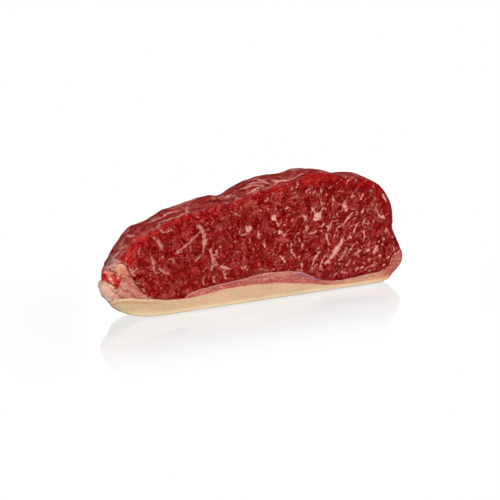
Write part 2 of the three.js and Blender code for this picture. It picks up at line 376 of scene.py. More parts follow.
def box_shell(nx: int, ny: int, nz: int) -> tuple[np.ndarray, np.ndarray]:
    """The surface of a box of cells.

    Args:
        nx: The cells along x.
        ny: The cells along y.
        nz: The cells along z.

    Returns:
        The lattice place of each point, and the corners of each face, which points outwards.
    """
    def quads(a: np.ndarray, b: np.ndarray, c: np.ndarray, d: np.ndarray) -> np.ndarray:
        """Faces from four arrays of lattice places."""
        return np.stack([a, b, c, d], axis=1)

    def sheet(first: int, second: int) -> tuple[np.ndarray, np.ndarray]:
        """Lattice places over a sheet of cells."""
        grid = np.meshgrid(np.arange(first), np.arange(second), indexing="ij")
        return grid[0].ravel(), grid[1].ravel()

    def place(i: np.ndarray, j: np.ndarray, k: np.ndarray) -> np.ndarray:
        """One number for a lattice place."""
        return (i * (ny + 1) + j) * (nz + 1) + k

    faces = []
    for end, flip in ((0, False), (1, True)):
        j, k = sheet(ny, nz)
        i = np.full_like(j, end * nx)
        side = quads(place(i, j, k), place(i, j, k + 1), place(i, j + 1, k + 1), place(i, j + 1, k))
        faces.append(side[:, ::-1] if flip else side)
        i, k = sheet(nx, nz)
        j = np.full_like(i, end * ny)
        side = quads(place(i, j, k), place(i + 1, j, k), place(i + 1, j, k + 1), place(i, j, k + 1))
        faces.append(side[:, ::-1] if flip else side)
        i, j = sheet(nx, ny)
        k = np.full_like(i, end * nz)
        side = quads(place(i, j, k), place(i, j + 1, k), place(i + 1, j + 1, k), place(i + 1, j, k))
        faces.append(side[:, ::-1] if flip else side)
    used, corners = np.unique(np.vstack(faces), return_inverse=True)
    lattice = np.column_stack([
        used // (nz + 1) // (ny + 1), used // (nz + 1) % (ny + 1), used % (nz + 1),
    ])
    return lattice, corners.reshape(-1, 4)


def crowded(share: np.ndarray, weight: float) -> np.ndarray:
    """Even shares from 0 to 1, crowded towards both ends by a weight."""
    return (1 - weight) * share + weight * (1 - np.cos(np.pi * share)) / 2


@dataclass(frozen=True)
class Stroke:
    """One fleck of fat: a short smooth path with a greatest width."""

    width: float
    path: Line
    pale: float = 1.0


def strokes(*rows: tuple) -> tuple[Stroke, ...]:
    """Strokes from rows of a width and the points of a path."""
    return tuple(Stroke(row[0], tuple(row[1:])) for row in rows)


# The larger flecks of the front cut face: greatest width, then x and z along each.
FACE_STROKES = strokes(
    (1.6, (-39, 49.9), (-42.7, 47.5), (-47.2, 43.8), (-51.7, 40.9), (-53.9, 38.3)),
    (0.9, (-46.8, 42.4), (-45.8, 39.4), (-46.5, 37.4)),
    (1.7, (-69, 49.7), (-65.5, 46.1), (-63.7, 42.4), (-63.4, 39.9)),
    (1.4, (-71.4, 40.6), (-69.3, 34.7), (-68.4, 28.9), (-67.3, 26.2)),
    (1.4, (-65.8, 32.1), (-63.6, 28.2), (-58.5, 25.4)),
    (1.4, (-78.4, 32.3), (-81.7, 30), (-85.4, 28.3)),
    (0.9, (-59.9, 34.8), (-57.6, 35.2), (-56.2, 33.6), (-57, 32.3)),
    (2.1, (-41.1, 54.4), (-38.2, 51.2), (-37.1, 47.6), (-36.4, 43.2), (-37.6, 39.1), (-37.2, 35.5)),
    (1.9, (-33.8, 38.6), (-31.6, 34), (-30.9, 29.6), (-28.6, 27.1)),
    (1.3, (-30.9, 29.6), (-32.8, 24.1)),
    (2.1, (-26.4, 27.2), (-24.1, 25.4), (-20.3, 24.2)),
    (0.9, (-24.1, 25.4), (-23.4, 20.6), (-22.2, 16.1)),
    (2.3, (-13, 24.7), (-10.7, 22.9)),
    (1.9, (-9.5, 49.9), (-7.6, 47.5), (-4.9, 47.9)),
    (1.3, (-7.6, 47.5), (-8.4, 44)),
    (0.7, (-7.6, 44.3), (-12.6, 44.6), (-13, 47.5), (-11.1, 50.1)),
    (1.1, (-25.5, 40.4), (-26.7, 38.4)),
    (0.9, (-29.9, 55.9), (-31.1, 52.5)),
    (0.7, (-20.1, 60.5), (-16.4, 58.6), (-11.8, 55.6)),
    (0.8, (-64.6, 54.1), (-61.8, 51.6), (-58.1, 52.2), (-55.9, 53.4)),
    (0.8, (-37, 22.5), (-37.8, 19.7), (-36.7, 15.9)),
    (0.8, (-31.7, 21), (-30.6, 18), (-28.3, 15.9)),
    (1, (-42.1, 31.1), (-41.4, 33.1), (-38.4, 34.9)),
    (1, (-76.7, 44.1), (-77.9, 40)),
    (2.3, (59.2, 36.7), (56.3, 32), (52.9, 27.2), (49.6, 22.5), (45.4, 18.4)),
    (1, (60.7, 27.8), (58.2, 23), (53.1, 18.5)),
    (1.7, (64.5, 34.1), (60.6, 33.4)),
    (0.9, (69.1, 42.6), (66.1, 38.2), (64, 34.1)),
    (1.2, (65.4, 49.7), (62, 46.6), (57.8, 41.6)),
    (2, (58.2, 56.4), (59.7, 53.5), (60.7, 50.6)),
    (3.2, (41.8, 52.8), (39.8, 50), (36.8, 48)),
    (1.2, (35.4, 56.2), (39.3, 50.4)),
    (1.2, (44.3, 56), (41.4, 51.3)),
    (0.8, (41.8, 67.8), (42.9, 63.9)),
    (0.8, (42.5, 61.2), (42, 55.9)),
    (1.1, (28.8, 52), (32.2, 49.3), (31.8, 47.8)),
    (1.5, (32.2, 45), (31.8, 42.8), (34.1, 42.9)),
    (1.2, (44.1, 45.6), (42, 42.7)),
    (1.1, (46.8, 44.1), (46.3, 41.4)),
    (2.6, (10.1, 54.9), (9.3, 52), (11.4, 51.4)),
    (0.9, (11.4, 51.8), (12.9, 45.4)),
    (2, (13.1, 44.7), (13.9, 42.2)),
    (0.9, (13.9, 42.6), (17.6, 40.6), (18.5, 43.2), (20.5, 43.9)),
    (1.5, (-0.7, 46.3), (-0.1, 40.5)),
    (0.9, (3.6, 37.4), (4.5, 33.4)),
    (0.9, (21, 36.7), (22.3, 29.6), (25.7, 24.5)),
    (1.5, (13.2, 28.4), (15.7, 26.2), (18.2, 22.7)),
    (1.4, (41.8, 27.9), (38.9, 23.5), (36.8, 17.9)),
    (0.9, (29, 35), (30.3, 29.3)),
    (1.2, (26, 41.5), (26.2, 39.6)),
    (0.9, (80.6, 51.5), (83.4, 46.4), (85.3, 43.9)),
    (2, (85.3, 43.9), (87.9, 44.3)),
    (1.1, (72.3, 51.6), (70.7, 47.9)),
    (1.2, (64.7, 61.1), (63.5, 58.1)),
    (1.4, (71.3, 24.5), (66.5, 21.9)),
    (1.5, (82.3, 25.1), (79.7, 21.4)),
    (1.3, (85.2, 59.6), (89.4, 53.6)),
    (0.9, (54.1, 12), (51.4, 8.2)),
    (0.9, (58.4, 13.4), (56.7, 10.9)),
    (0.9, (69.8, 13.5), (67.6, 10.6)),
    (0.9, (9.7, 60.3), (10.5, 57.2)),
    (1.1, (16.7, 57.6), (20.4, 58.3)),
    (0.9, (22.5, 51.2), (21.7, 49.4)),
    (0.9, (88.2, 34), (89.9, 36.1), (92.3, 31.1)),
    (0.9, (73.6, 37.3), (72.8, 34.3)),
    (0.9, (53.4, 50.7), (54.2, 48.7)),
    (0.9, (45, 38.4), (48.2, 30.2)),
    (0.8, (33.1, 39.9), (37.4, 40.2), (39.9, 41.8)),
    (2, (-84, 32.4), (-82.6, 30), (-81.6, 27.4)),
    (1.3, (-89, 35.6), (-86.6, 35.8), (-84.8, 33.6)),
    (1.1, (-80.4, 24), (-78.6, 21.6)),
    (1, (-76.8, 19.4), (-74.6, 17)),
    (1, (91.3, 35.7), (89.2, 35), (89.2, 32.9)),
    (1.1, (88.5, 30.1), (87.1, 29.4)),
    (1, (84.3, 29.4), (82.9, 28)),
    (1, (85.7, 27.3), (87.8, 24.5)),
    (2, (83.6, 25.9), (81.5, 24.5), (80.8, 22.4)),
    (0.9, (93.4, 29.4), (95.5, 30.1)),
    (1.2, (95.5, 23.1), (96.2, 20.9), (95, 20)),
    (1.3, (85.7, 19.6), (84.3, 18.2)),
    (1.2, (92.7, 17.5), (89.9, 16.8)),
    (1.1, (89.2, 13.3), (87.1, 11.9)),
    (0.9, (84, 15), (81, 13.6), (77, 13.3)),
    (1, (73.8, 35), (73.8, 32.2), (72.4, 29.4)),
    (1, (77.3, 25.2), (74.5, 22.4)),
    (1.1, (78, 18.2), (75.9, 16.8)),
    (1.1, (73.1, 14), (71, 11.9)),
    (0.8, (50, 47), (47, 41), (45, 37)),
    (0.8, (56, 44), (53, 39), (51, 34)),
    (0.8, (67, 30), (63, 25), (61, 21)),
    (0.8, (47, 26), (44, 21), (42, 15)),
    (0.8, (64, 20), (61, 15)),
    (0.8, (74, 45), (72, 40)),
    (0.8, (28, 22), (30, 18)),
    (0.8, (50, 62), (51, 57)),
    (0.8, (72, 62), (70, 57)),
)


def fibre_tilt(x: np.ndarray) -> np.ndarray:
    """How far the grain of the lean leans over to the right, as x over z."""
    return 0.62 * ramp(x, (-10, 45))


# Pale strands and films on the outer skin: greatest width, then x and y along each.
SKIN_STROKES = strokes(
    (3, (-95.4, -2.4), (-89.8, -4.2), (-86.6, -4.6), (-82.6, -4.8)),
    (0.9, (-80.5, 1.2), (-77.2, -5.5)),
    (0.8, (-86.6, -0.8), (-82.5, -4.1)),
    (0.9, (-68.4, 0.6), (-59.3, -0.8), (-46.9, 0.4)),
    (1.1, (-62.4, -5.2), (-56.6, -5.8), (-48.5, -6.4), (-43.4, -7)),
    (1, (-43, -0.6), (-43.8, -4.6), (-43.2, -7.4)),
    (1.6, (-16.8, 0.2), (-14, -1)),
    (1.8, (-12.6, -7), (-13.4, -9)),
    (1.3, (-7, -8.4), (3.4, -7.3)),
    (1, (-1.6, 1.1), (5.8, -2.8)),
    (1.1, (-7, -1), (0.3, -2.7), (5.8, -8.1)),
    (1, (5, 1.8), (7.4, -3), (11.7, -8)),
    (1.4, (11.7, -9), (18.9, -4.5), (23.2, -6.1), (31.6, -6.1), (35.4, -8.4)),
    (1.1, (12.1, -3.6), (22.8, -6.9)),
)
SKIN_FILMS = (
    Stroke(2.2, ((-49, 4), (-40, 6), (-33.1, 7.6), (-28, 6)), 0.4),
    Stroke(3, ((39, -0.4), (45, -1.4), (52, -3.6)), 0.45),
)


@dataclass(frozen=True)
class Marbling:
    """Flecks of fat in the lean, as marks that the finish reads."""

    seed: int
    small_count: int = 560
    step: float = 0.8

    def scattered(self) -> tuple[Stroke, ...]:
        """Short flecks strewn over a cut face, most of them along the grain.

        Returns:
            The strokes, the same ones for a seed each time.
        """
        chance = np.random.default_rng(self.seed)
        made = []
        for _ in range(self.small_count):
            x, z = chance.triangular(-88, 70, 98), chance.uniform(8, 77)
            loose = 0.3 if x > 20 else 0.9
            heading = math.pi / 2 - math.atan(float(fibre_tilt(np.array(x))))
            heading += chance.normal(0, loose)
            length, width = chance.uniform(0.8, 3.4 if x < 20 else 5), chance.uniform(0.3, 0.8)
            path = [(x, z)]
            for _ in range(2):
                heading += chance.normal(0, 0.5)
                last = path[-1]
                path.append((
                    last[0] + length / 2 * math.cos(heading), last[1] + length / 2 * math.sin(heading),
                ))
            made.append(Stroke(width, tuple(path), chance.uniform(0.3, 0.95)))
        return tuple(made)

    def branched(self, drawn: tuple[Stroke, ...]) -> tuple[Stroke, ...]:
        """Drawn flecks, and short arms that leave them at a slant.

        Args:
            drawn: The flecks.

        Returns:
            The flecks and their arms.
        """
        chance = np.random.default_rng(self.seed + 2)
        made = list(drawn)
        for stroke in drawn:
            path = smooth_path(stroke.path, self.step)
            for _ in range(1 + len(path) // 4):
                k = chance.integers(0, len(path) - 1)
                run = path[k + 1] - path[k]
                heading = math.atan2(run[1], run[0])
                heading += chance.choice((-1, 1)) * chance.uniform(0.5, 1.4)
                reach = chance.uniform(0.7, 1.1 + stroke.width)
                end = path[k] + reach * np.array([math.cos(heading), math.sin(heading)])
                made.append(Stroke(
                    stroke.width * 0.5, (tuple(path[k]), tuple(end)), stroke.pale * 0.85,
                ))
        return tuple(made)

    def marks(self, x: np.ndarray, z: np.ndarray, drawn: tuple[Stroke, ...]) -> np.ndarray:
        """What the nearest fleck is to each place.

        Args:
            x: Places along a face.
            z: Places up it.
            drawn: The flecks.

        Returns:
            For each place, how far across the fleck it lies, the fleck's half width there less
            any overshoot past its end, and how pale the fleck is.
        """
        chance = np.random.default_rng(self.seed + 1)
        starts, ends, halves, pales = [], [], [], []
        for stroke in drawn:
            path = smooth_path(stroke.path, self.step)
            share = np.linspace(0, 1, len(path))
            half = stroke.width / 2 * (0.25 + 0.95 * np.sin(np.pi * share) ** 0.8)
            half *= chance.uniform(0.4, 1.45, len(path))
            path[1:-1] += chance.normal(0, 0.14, (len(path) - 2, 2))
            starts.append(path[:-1])
            ends.append(path[1:])
            halves.append(np.column_stack([half[:-1], half[1:]]))
            pales.append(np.full(len(path) - 1, stroke.pale))
        start, half, pale = np.vstack(starts), np.vstack(halves), np.concatenate(pales)
        run = np.vstack(ends) - start
        length = np.hypot(*run.T)
        rows = []
        for part in np.array_split(np.arange(len(x)), len(x) // 3000 + 1):
            dx, dz = x[part, None] - start[:, 0], z[part, None] - start[:, 1]
            along = (dx * run[:, 0] + dz * run[:, 1]) / length
            across = (dx * run[:, 1] - dz * run[:, 0]) / length
            share = np.clip(along / length, 0, 1)
            over = np.abs(along - share * length)
            width = half[:, 0] + share * (half[:, 1] - half[:, 0])
            k = np.argmin(np.hypot(across, over) - width, axis=1)
            at = np.arange(len(part))
            rows.append(np.column_stack([across[at, k], width[at, k] - over[at, k], pale[k]]))
        found = np.vstack(rows)
        outside = np.abs(found[:, 0]) > found[:, 1] + 0.5
        found[outside, 0] = np.abs(found[outside, 0])
        return found


class NodeSheet:
    """A node tree of a material or a world, with short ways to add what it is mixed from."""

    def __init__(self, owner: bpy.types.Material | bpy.types.World) -> None:
        """Empties the owner's tree."""
        owner.use_nodes = True
        self.owner = owner
        self.tree = owner.node_tree
        self.tree.nodes.clear()

    @property
    def place(self) -> Socket:
        """The place on the object, in millimetres."""
        return self.scaled(self.add("ShaderNodeTexCoord").outputs["Object"], 1 / MM)

    def add(self, kind: str, **settings: object) -> bpy.types.Node:
        """Adds a node and sets what it is told to."""
        node = self.tree.nodes.new(kind)
        for name, value in settings.items():
            setattr(node, name, value)
        return node

    def feed(self, socket: Socket, value: object) -> None:
        """Links a socket to another, or sets it to a number or a colour."""
        if isinstance(value, bpy.types.NodeSocket):
            self.tree.links.new(value, socket)
        elif socket.type == "RGBA":
            socket.default_value = (*value, 1)
        else:
            socket.default_value = value

    def maths(self, operation: str, first: object, second: object = 0.0) -> Socket:
        """One sum of two numbers."""
        node = self.add("ShaderNodeMath", operation=operation)
        self.feed(node.inputs[0], first)
        self.feed(node.inputs[1], second)
        return node.outputs[0]

    def times(self, *values: object) -> Socket:
        """The product of several numbers."""
        product = values[0]
        for value in values[1:]:
            product = self.maths("MULTIPLY", product, value)
        return product

    def scaled(self, vector: Socket, scale: float) -> Socket:
        """A vector made longer or shorter."""
        node = self.add("ShaderNodeVectorMath", operation="SCALE")
        self.feed(node.inputs[0], vector)
        node.inputs["Scale"].default_value = scale
        return node.outputs[0]

    def stretched(self, vector: Socket, sizes: tuple[float, float, float]) -> Socket:
        """A vector in which one unit is the given length along each axis."""
        node = self.add("ShaderNodeVectorMath", operation="DIVIDE")
        self.feed(node.inputs[0], vector)
        node.inputs[1].default_value = sizes
        return node.outputs[0]

    def warped(self, vector: Socket, size: float, reach: float) -> Socket:
        """A vector pushed about by a noise of a size, by up to a reach."""
        noise = self.add("ShaderNodeTexNoise")
        self.feed(noise.inputs["Vector"], self.scaled(vector, 1 / size))
        noise.inputs["Detail"].default_value = 1
        centred = self.add("ShaderNodeVectorMath", operation="SUBTRACT")
        self.feed(centred.inputs[0], noise.outputs["Color"])
        centred.inputs[1].default_value = (0.5, 0.5, 0.5)
        moved = self.add("ShaderNodeVectorMath", operation="ADD")
        self.feed(moved.inputs[0], vector)
        self.feed(moved.inputs[1], self.scaled(centred.outputs[0], 2 * reach))
        return moved.outputs[0]

    def noise(
        self, vector: Socket, size: float = 1.0, detail: float = 2, rough: float = 0.5
    ) -> Socket:
        """A noise of a size, from 0 to 1."""
        node = self.add("ShaderNodeTexNoise")
        self.feed(node.inputs["Vector"], vector)
        node.inputs["Scale"].default_value = 1 / size
        node.inputs["Detail"].default_value = detail
        node.inputs["Roughness"].default_value = rough
        return node.outputs["Fac"]

    def cells(self, vector: Socket, size: float, feature: str = "F1") -> bpy.types.Node:
        """A pattern of cells of a size."""
        node = self.add("ShaderNodeTexVoronoi", feature=feature)
        self.feed(node.inputs["Vector"], vector)
        node.inputs["Scale"].default_value = 1 / size
        return node

    def ramp(self, value: Socket, start: object, end: object) -> Socket:
        """From 0 to 1, smoothly, as a value goes from start to end."""
        node = self.add("ShaderNodeMapRange", interpolation_type="SMOOTHSTEP")
        self.feed(node.inputs["Value"], value)
        self.feed(node.inputs["From Min"], start)
        self.feed(node.inputs["From Max"], end)
        return node.outputs["Result"]

    def inverse(self, value: Socket) -> Socket:
        """One less a value."""
        return self.maths("SUBTRACT", 1.0, value)

    def lines(self, value: Socket, width: float) -> Socket:
        """Thin lines where a noise passes its middle."""
        off = self.maths("ABSOLUTE", self.maths("SUBTRACT", value, 0.5))
        return self.inverse(self.ramp(off, width * 0.35, width))

    def total(self, *terms: tuple[object, float]) -> Socket:
        """The sum of several numbers, each times its weight."""
        whole = 0.0
        for value, weight in terms:
            whole = self.maths("ADD", self.maths("MULTIPLY", value, weight), whole)
        return whole

    def gradient(self, value: Socket, *stops: tuple[float, Colour]) -> Socket:
        """A colour from a row of them, each at its own value."""
        node = self.add("ShaderNodeValToRGB")
        elements = node.color_ramp.elements
        while len(elements) < len(stops):
            elements.new(0.5)
        for element, (position, colour) in zip(elements, stops):
            element.position = position
            element.color = (*colour, 1)
        self.feed(node.inputs[0], value)
        return node.outputs["Color"]

    def blend(self, share: object, low: object, high: object) -> Socket:
        """A colour between two, by a share."""
        node = self.add("ShaderNodeMix", data_type="RGBA")
        self.feed(node.inputs[0], share)
        self.feed(node.inputs[6], low)
        self.feed(node.inputs[7], high)
        return node.outputs[2]

    def mark(self, name: str) -> Socket:
        """A number that the mesh carries."""
        return self.add("ShaderNodeAttribute", attribute_name=name).outputs["Fac"]

    def marked_vector(self, name: str) -> Socket:
        """A vector that the mesh carries."""
        return self.add("ShaderNodeAttribute", attribute_name=name).outputs["Vector"]

    def parts(self, vector: Socket) -> tuple[Socket, Socket, Socket]:
        """The three numbers of a vector."""
        node = self.add("ShaderNodeSeparateXYZ")
        self.feed(node.inputs[0], vector)
        return tuple(node.outputs)

    def finish(
        self, colour: Socket, rough: Socket, height: Socket, depth: float, **settings: object
    ) -> bpy.types.Material:
        """Closes the tree with a shader.

        Args:
            colour: The surface's colour.
            rough: Its roughness.
            height: The height of its finest relief, from 0 to 1.
            depth: What a height of 1 stands for, in millimetres.
            **settings: Numbers or sockets for the shader's own sockets, spaces as underscores.

        Returns:
            The material.
        """
        shader = self.add("ShaderNodeBsdfPrincipled")
        self.feed(shader.inputs["Base Color"], colour)
        self.feed(shader.inputs["Roughness"], rough)
        for name, value in settings.items():
            self.feed(shader.inputs[name.replace("_", " ")], value)
        bump = self.add("ShaderNodeBump")
        bump.inputs["Distance"].default_value = depth * MM
        self.feed(bump.inputs["Height"], height)
        self.feed(shader.inputs["Normal"], bump.outputs["Normal"])
        out = self.add("ShaderNodeOutputMaterial")
        self.feed(out.inputs["Surface"], shader.outputs[0])
        return self.owner


@dataclass(frozen=True)
class LeanFinish:
    """Raw lean meat: dark and bright bundles of fibre, flecks of fat, a filmed outer skin, painted
    highlights along the ridge and painted glints.
    """

    name: str = "lean_meat"
    gap: Colour = tone(109, 0, 3)
    deep: Colour = tone(134, 4, 6)
    plain: Colour = tone(163, 18, 20)
    bright: Colour = tone(200, 56, 52)
    dull: Colour = tone(138, 40, 34)
    pink: Colour = tone(228, 118, 110)
    # Painted highlight colours: the band below the ridge and the tapering patch at its tail end, lit
    # where the bevel catches the light.
    painted_ridge_light: Colour = tone(178, 24, 22)
    wedge: Colour = tone(204, 44, 31)
    fleck: Colour = tone(246, 180, 168)
    fleck_edge: Colour = tone(214, 114, 106)
    skin: Colour = tone(170, 54, 50)
    skin_deep: Colour = tone(108, 10, 11)
    film: Colour = tone(218, 154, 144)
    patch: Colour = tone(208, 150, 140)
    seam: Colour = tone(190, 104, 94)

    def material(self) -> bpy.types.Material:
        """The material of this finish."""
        sheet = NodeSheet(bpy.data.materials.new(self.name))
        place = sheet.place
        grain = sheet.warped(sheet.warped(sheet.marked_vector("grain"), 11, 2.6), 3.5, 0.9)
        ragged_grain = sheet.warped(grain, 1.1, 0.3)
        broad = sheet.noise(place, 16, 2)
        middle = sheet.noise(sheet.stretched(grain, (3.4, 3.4, 6)), 1, 3, 0.6)
        fine = sheet.noise(sheet.stretched(grain, (0.75, 0.75, 1.7)), 1, 3, 0.7)
        across_grain = sheet.stretched(ragged_grain, (1.3, 1.3, 2.9))
        bundles = sheet.cells(across_grain, 1)
        shade = sheet.parts(bundles.outputs["Color"])[0]
        swelling = sheet.inverse(sheet.ramp(bundles.outputs["Distance"], 0.1, 0.62))
        walls = sheet.cells(across_grain, 1, "DISTANCE_TO_EDGE").outputs["Distance"]
        walls = sheet.inverse(sheet.ramp(walls, 0.03, 0.14))
        curls = sheet.lines(sheet.noise(sheet.stretched(ragged_grain, (1.7, 1.7, 3.4)), 1, 1), 0.045)
        lit = sheet.times(
            sheet.maths("MAXIMUM", walls, curls), sheet.ramp(sheet.noise(place, 2.4, 2), 0.44, 0.56)
        )
        strength = sheet.total(
            (shade, 0.4), (swelling, 0.2), (fine, 2.2), (middle, 0.2), (broad, 0.15), (lit, 0.45),
            (-1.33, 1.0),
        )
        colour = sheet.gradient(
            strength, (0.1, self.gap), (0.3, self.deep), (0.52, self.plain), (0.76, self.bright),
            (1.0, self.pink),
        )

        dulled = sheet.ramp(sheet.noise(place, 7, 3), 0.5, 0.66)
        colour = sheet.blend(sheet.times(dulled, 0.3), colour, self.dull)
        arcs = sheet.lines(sheet.noise(grain, 4.4, 1), 0.03)
        colour = sheet.blend(sheet.times(arcs, 0.8), colour, self.gap)

        # Painted highlight: a brighter red band below the ridge, where the bevel catches the light.
        painted_ridge_light = sheet.mark("painted_ridge_light")
        plain_face = sheet.inverse(sheet.times(painted_ridge_light, 0.6))
        share = sheet.times(painted_ridge_light, sheet.ramp(strength, 0.05, 0.5), 0.8)
        colour = sheet.blend(share, colour, self.painted_ridge_light)
        # The torn patch at the tail end of the ridge: streaky fibres, painted brighter where the bevel
        # catches the light.
        tears = sheet.warped(sheet.stretched(sheet.marked_vector("skin"), (4.5, 9, 1)), 1, 0.25)
        tears = sheet.noise(tears, 1, 3, 0.6)
        torn = sheet.blend(sheet.ramp(tears, 0.38, 0.46), self.deep, self.painted_ridge_light)
        torn = sheet.blend(sheet.ramp(tears, 0.48, 0.58), torn, self.wedge)
        torn = sheet.blend(sheet.ramp(tears, 0.62, 0.7), torn, self.pink)
        in_wedge = sheet.total((sheet.mark("wedge"), 1.0), (tears, 0.8), (-0.4, 1.0))
        colour = sheet.blend(sheet.times(sheet.ramp(in_wedge, 0.3, 0.6), 0.9), colour, torn)

        net = sheet.cells(sheet.stretched(ragged_grain, (4.2, 4.2, 7)), 1, "DISTANCE_TO_EDGE")
        where = sheet.ramp(sheet.noise(place, 5, 2), 0.46, 0.62)
        net = sheet.inverse(sheet.ramp(net.outputs["Distance"], 0.015, 0.07))
        threads = sheet.noise(sheet.stretched(grain, (0.6, 0.6, 3.6)), 1, 2)
        threads = sheet.ramp(threads, 0.6, 0.7)
        pale_arcs = sheet.times(sheet.lines(sheet.noise(ragged_grain, 3.1, 2), 0.03), where, 0.45)
        wisps = sheet.maths("MAXIMUM", sheet.times(net, where, 0.4), sheet.times(threads, 0.4))
        wisps = sheet.maths("MAXIMUM", wisps, pale_arcs)
        colour = sheet.blend(sheet.times(wisps, plain_face), colour, self.pink)

        specks = sheet.cells(sheet.stretched(ragged_grain, (1.3, 1.3, 1.8)), 1)
        red, green, _ = sheet.parts(specks.outputs["Color"])
        speck = sheet.inverse(sheet.ramp(specks.outputs["Distance"], 0.2, 0.34))
        pit = sheet.times(speck, sheet.ramp(red, 0.72, 0.8), 0.8)
        colour = sheet.blend(pit, colour, self.gap)
        # Pale dots, partly fat and partly painted glints of the wet surface.
        bright = sheet.times(speck, sheet.ramp(green, 0.86, 0.92), plain_face)
        colour = sheet.blend(bright, colour, self.fleck_edge)

        ragged = sheet.total((sheet.noise(place, 1.3, 3, 0.65), 1.7), (-0.85, 1.0))
        patchy = sheet.total((sheet.ramp(sheet.noise(place, 2.2, 2), 0.35, 0.6), 0.55), (0.45, 1.0))
        past = 9.0
        flecks = 0.0
        for name in ("fleck_large", "fleck_small"):
            across, room, pale = sheet.parts(sheet.marked_vector(name))
            over = sheet.maths("SUBTRACT", sheet.maths("ABSOLUTE", across), room)
            over = sheet.maths("ADD", over, ragged)
            inside = sheet.times(sheet.inverse(sheet.ramp(over, -0.12, 0.1)), pale)
            flecks = sheet.maths("MAXIMUM", flecks, inside)
            past = sheet.maths("MINIMUM", past, over)
        halo = sheet.times(sheet.ramp(past, 0.0, 0.2), sheet.inverse(sheet.ramp(past, 0.4, 0.9)))
        colour = sheet.blend(sheet.times(halo, 0.6), colour, self.gap)
        core = sheet.times(sheet.inverse(sheet.ramp(past, -0.45, -0.05)), patchy)
        fat = sheet.blend(core, self.fleck_edge, self.fleck)
        colour = sheet.blend(sheet.times(flecks, 0.95), colour, fat)
        to_seam = sheet.total((sheet.mark("up"), 1.0), (sheet.noise(place, 1.8, 2), 2.6), (-1.3, 1.0))
        colour = sheet.blend(sheet.inverse(sheet.ramp(to_seam, 0.0, 0.35)), colour, self.seam)

        rim = sheet.mark("rim")
        drawn_out = sheet.warped(sheet.stretched(sheet.marked_vector("skin"), (11, 2.6, 2.6)), 1, 0.35)
        streaks = sheet.noise(drawn_out, 1, 4, 0.65)
        skin = sheet.blend(sheet.ramp(streaks, 0.36, 0.6), self.skin_deep, self.skin)
        skin = sheet.blend(sheet.times(sheet.ramp(fine, 0.45, 0.7), 0.45), skin, self.gap)
        strands = sheet.lines(sheet.noise(drawn_out, 0.8, 3), 0.025)
        skin = sheet.blend(sheet.times(strands, where, 0.6), skin, self.film)
        filmed = sheet.times(sheet.ramp(middle, 0.5, 0.62), sheet.ramp(broad, 0.42, 0.55))
        skin = sheet.blend(sheet.times(filmed, 0.4), skin, self.film)
        skin = sheet.blend(sheet.times(flecks, 0.9), skin, self.film)
        colour = sheet.blend(sheet.times(rim, 0.9), colour, skin)
        blots = sheet.noise(place, 1.5, 3, 0.6)
        patch = sheet.blend(sheet.ramp(blots, 0.34, 0.56), self.skin_deep, self.patch)
        colour = sheet.blend(sheet.times(sheet.mark("film"), 0.9), colour, patch)

        rough = sheet.total((fine, 0.3), (0.18, 1.0))
        wet = sheet.total((sheet.ramp(middle, 0.4, 0.65), 0.06), (0.01, 1.0))
        wet = sheet.times(wet, sheet.inverse(sheet.times(rim, 0.8)))
        height = sheet.total((swelling, 0.45), (fine, 0.9), (shade, 0.15), (flecks, 0.15))
        return sheet.finish(
            colour, rough, height, 0.5, Subsurface_Weight=0.06,
            Subsurface_Radius=(1.0, 0.25, 0.18), Subsurface_Scale=0.4 * MM,
            Specular_IOR_Level=0.0, Coat_Weight=wet, Coat_Roughness=0.22,
        )


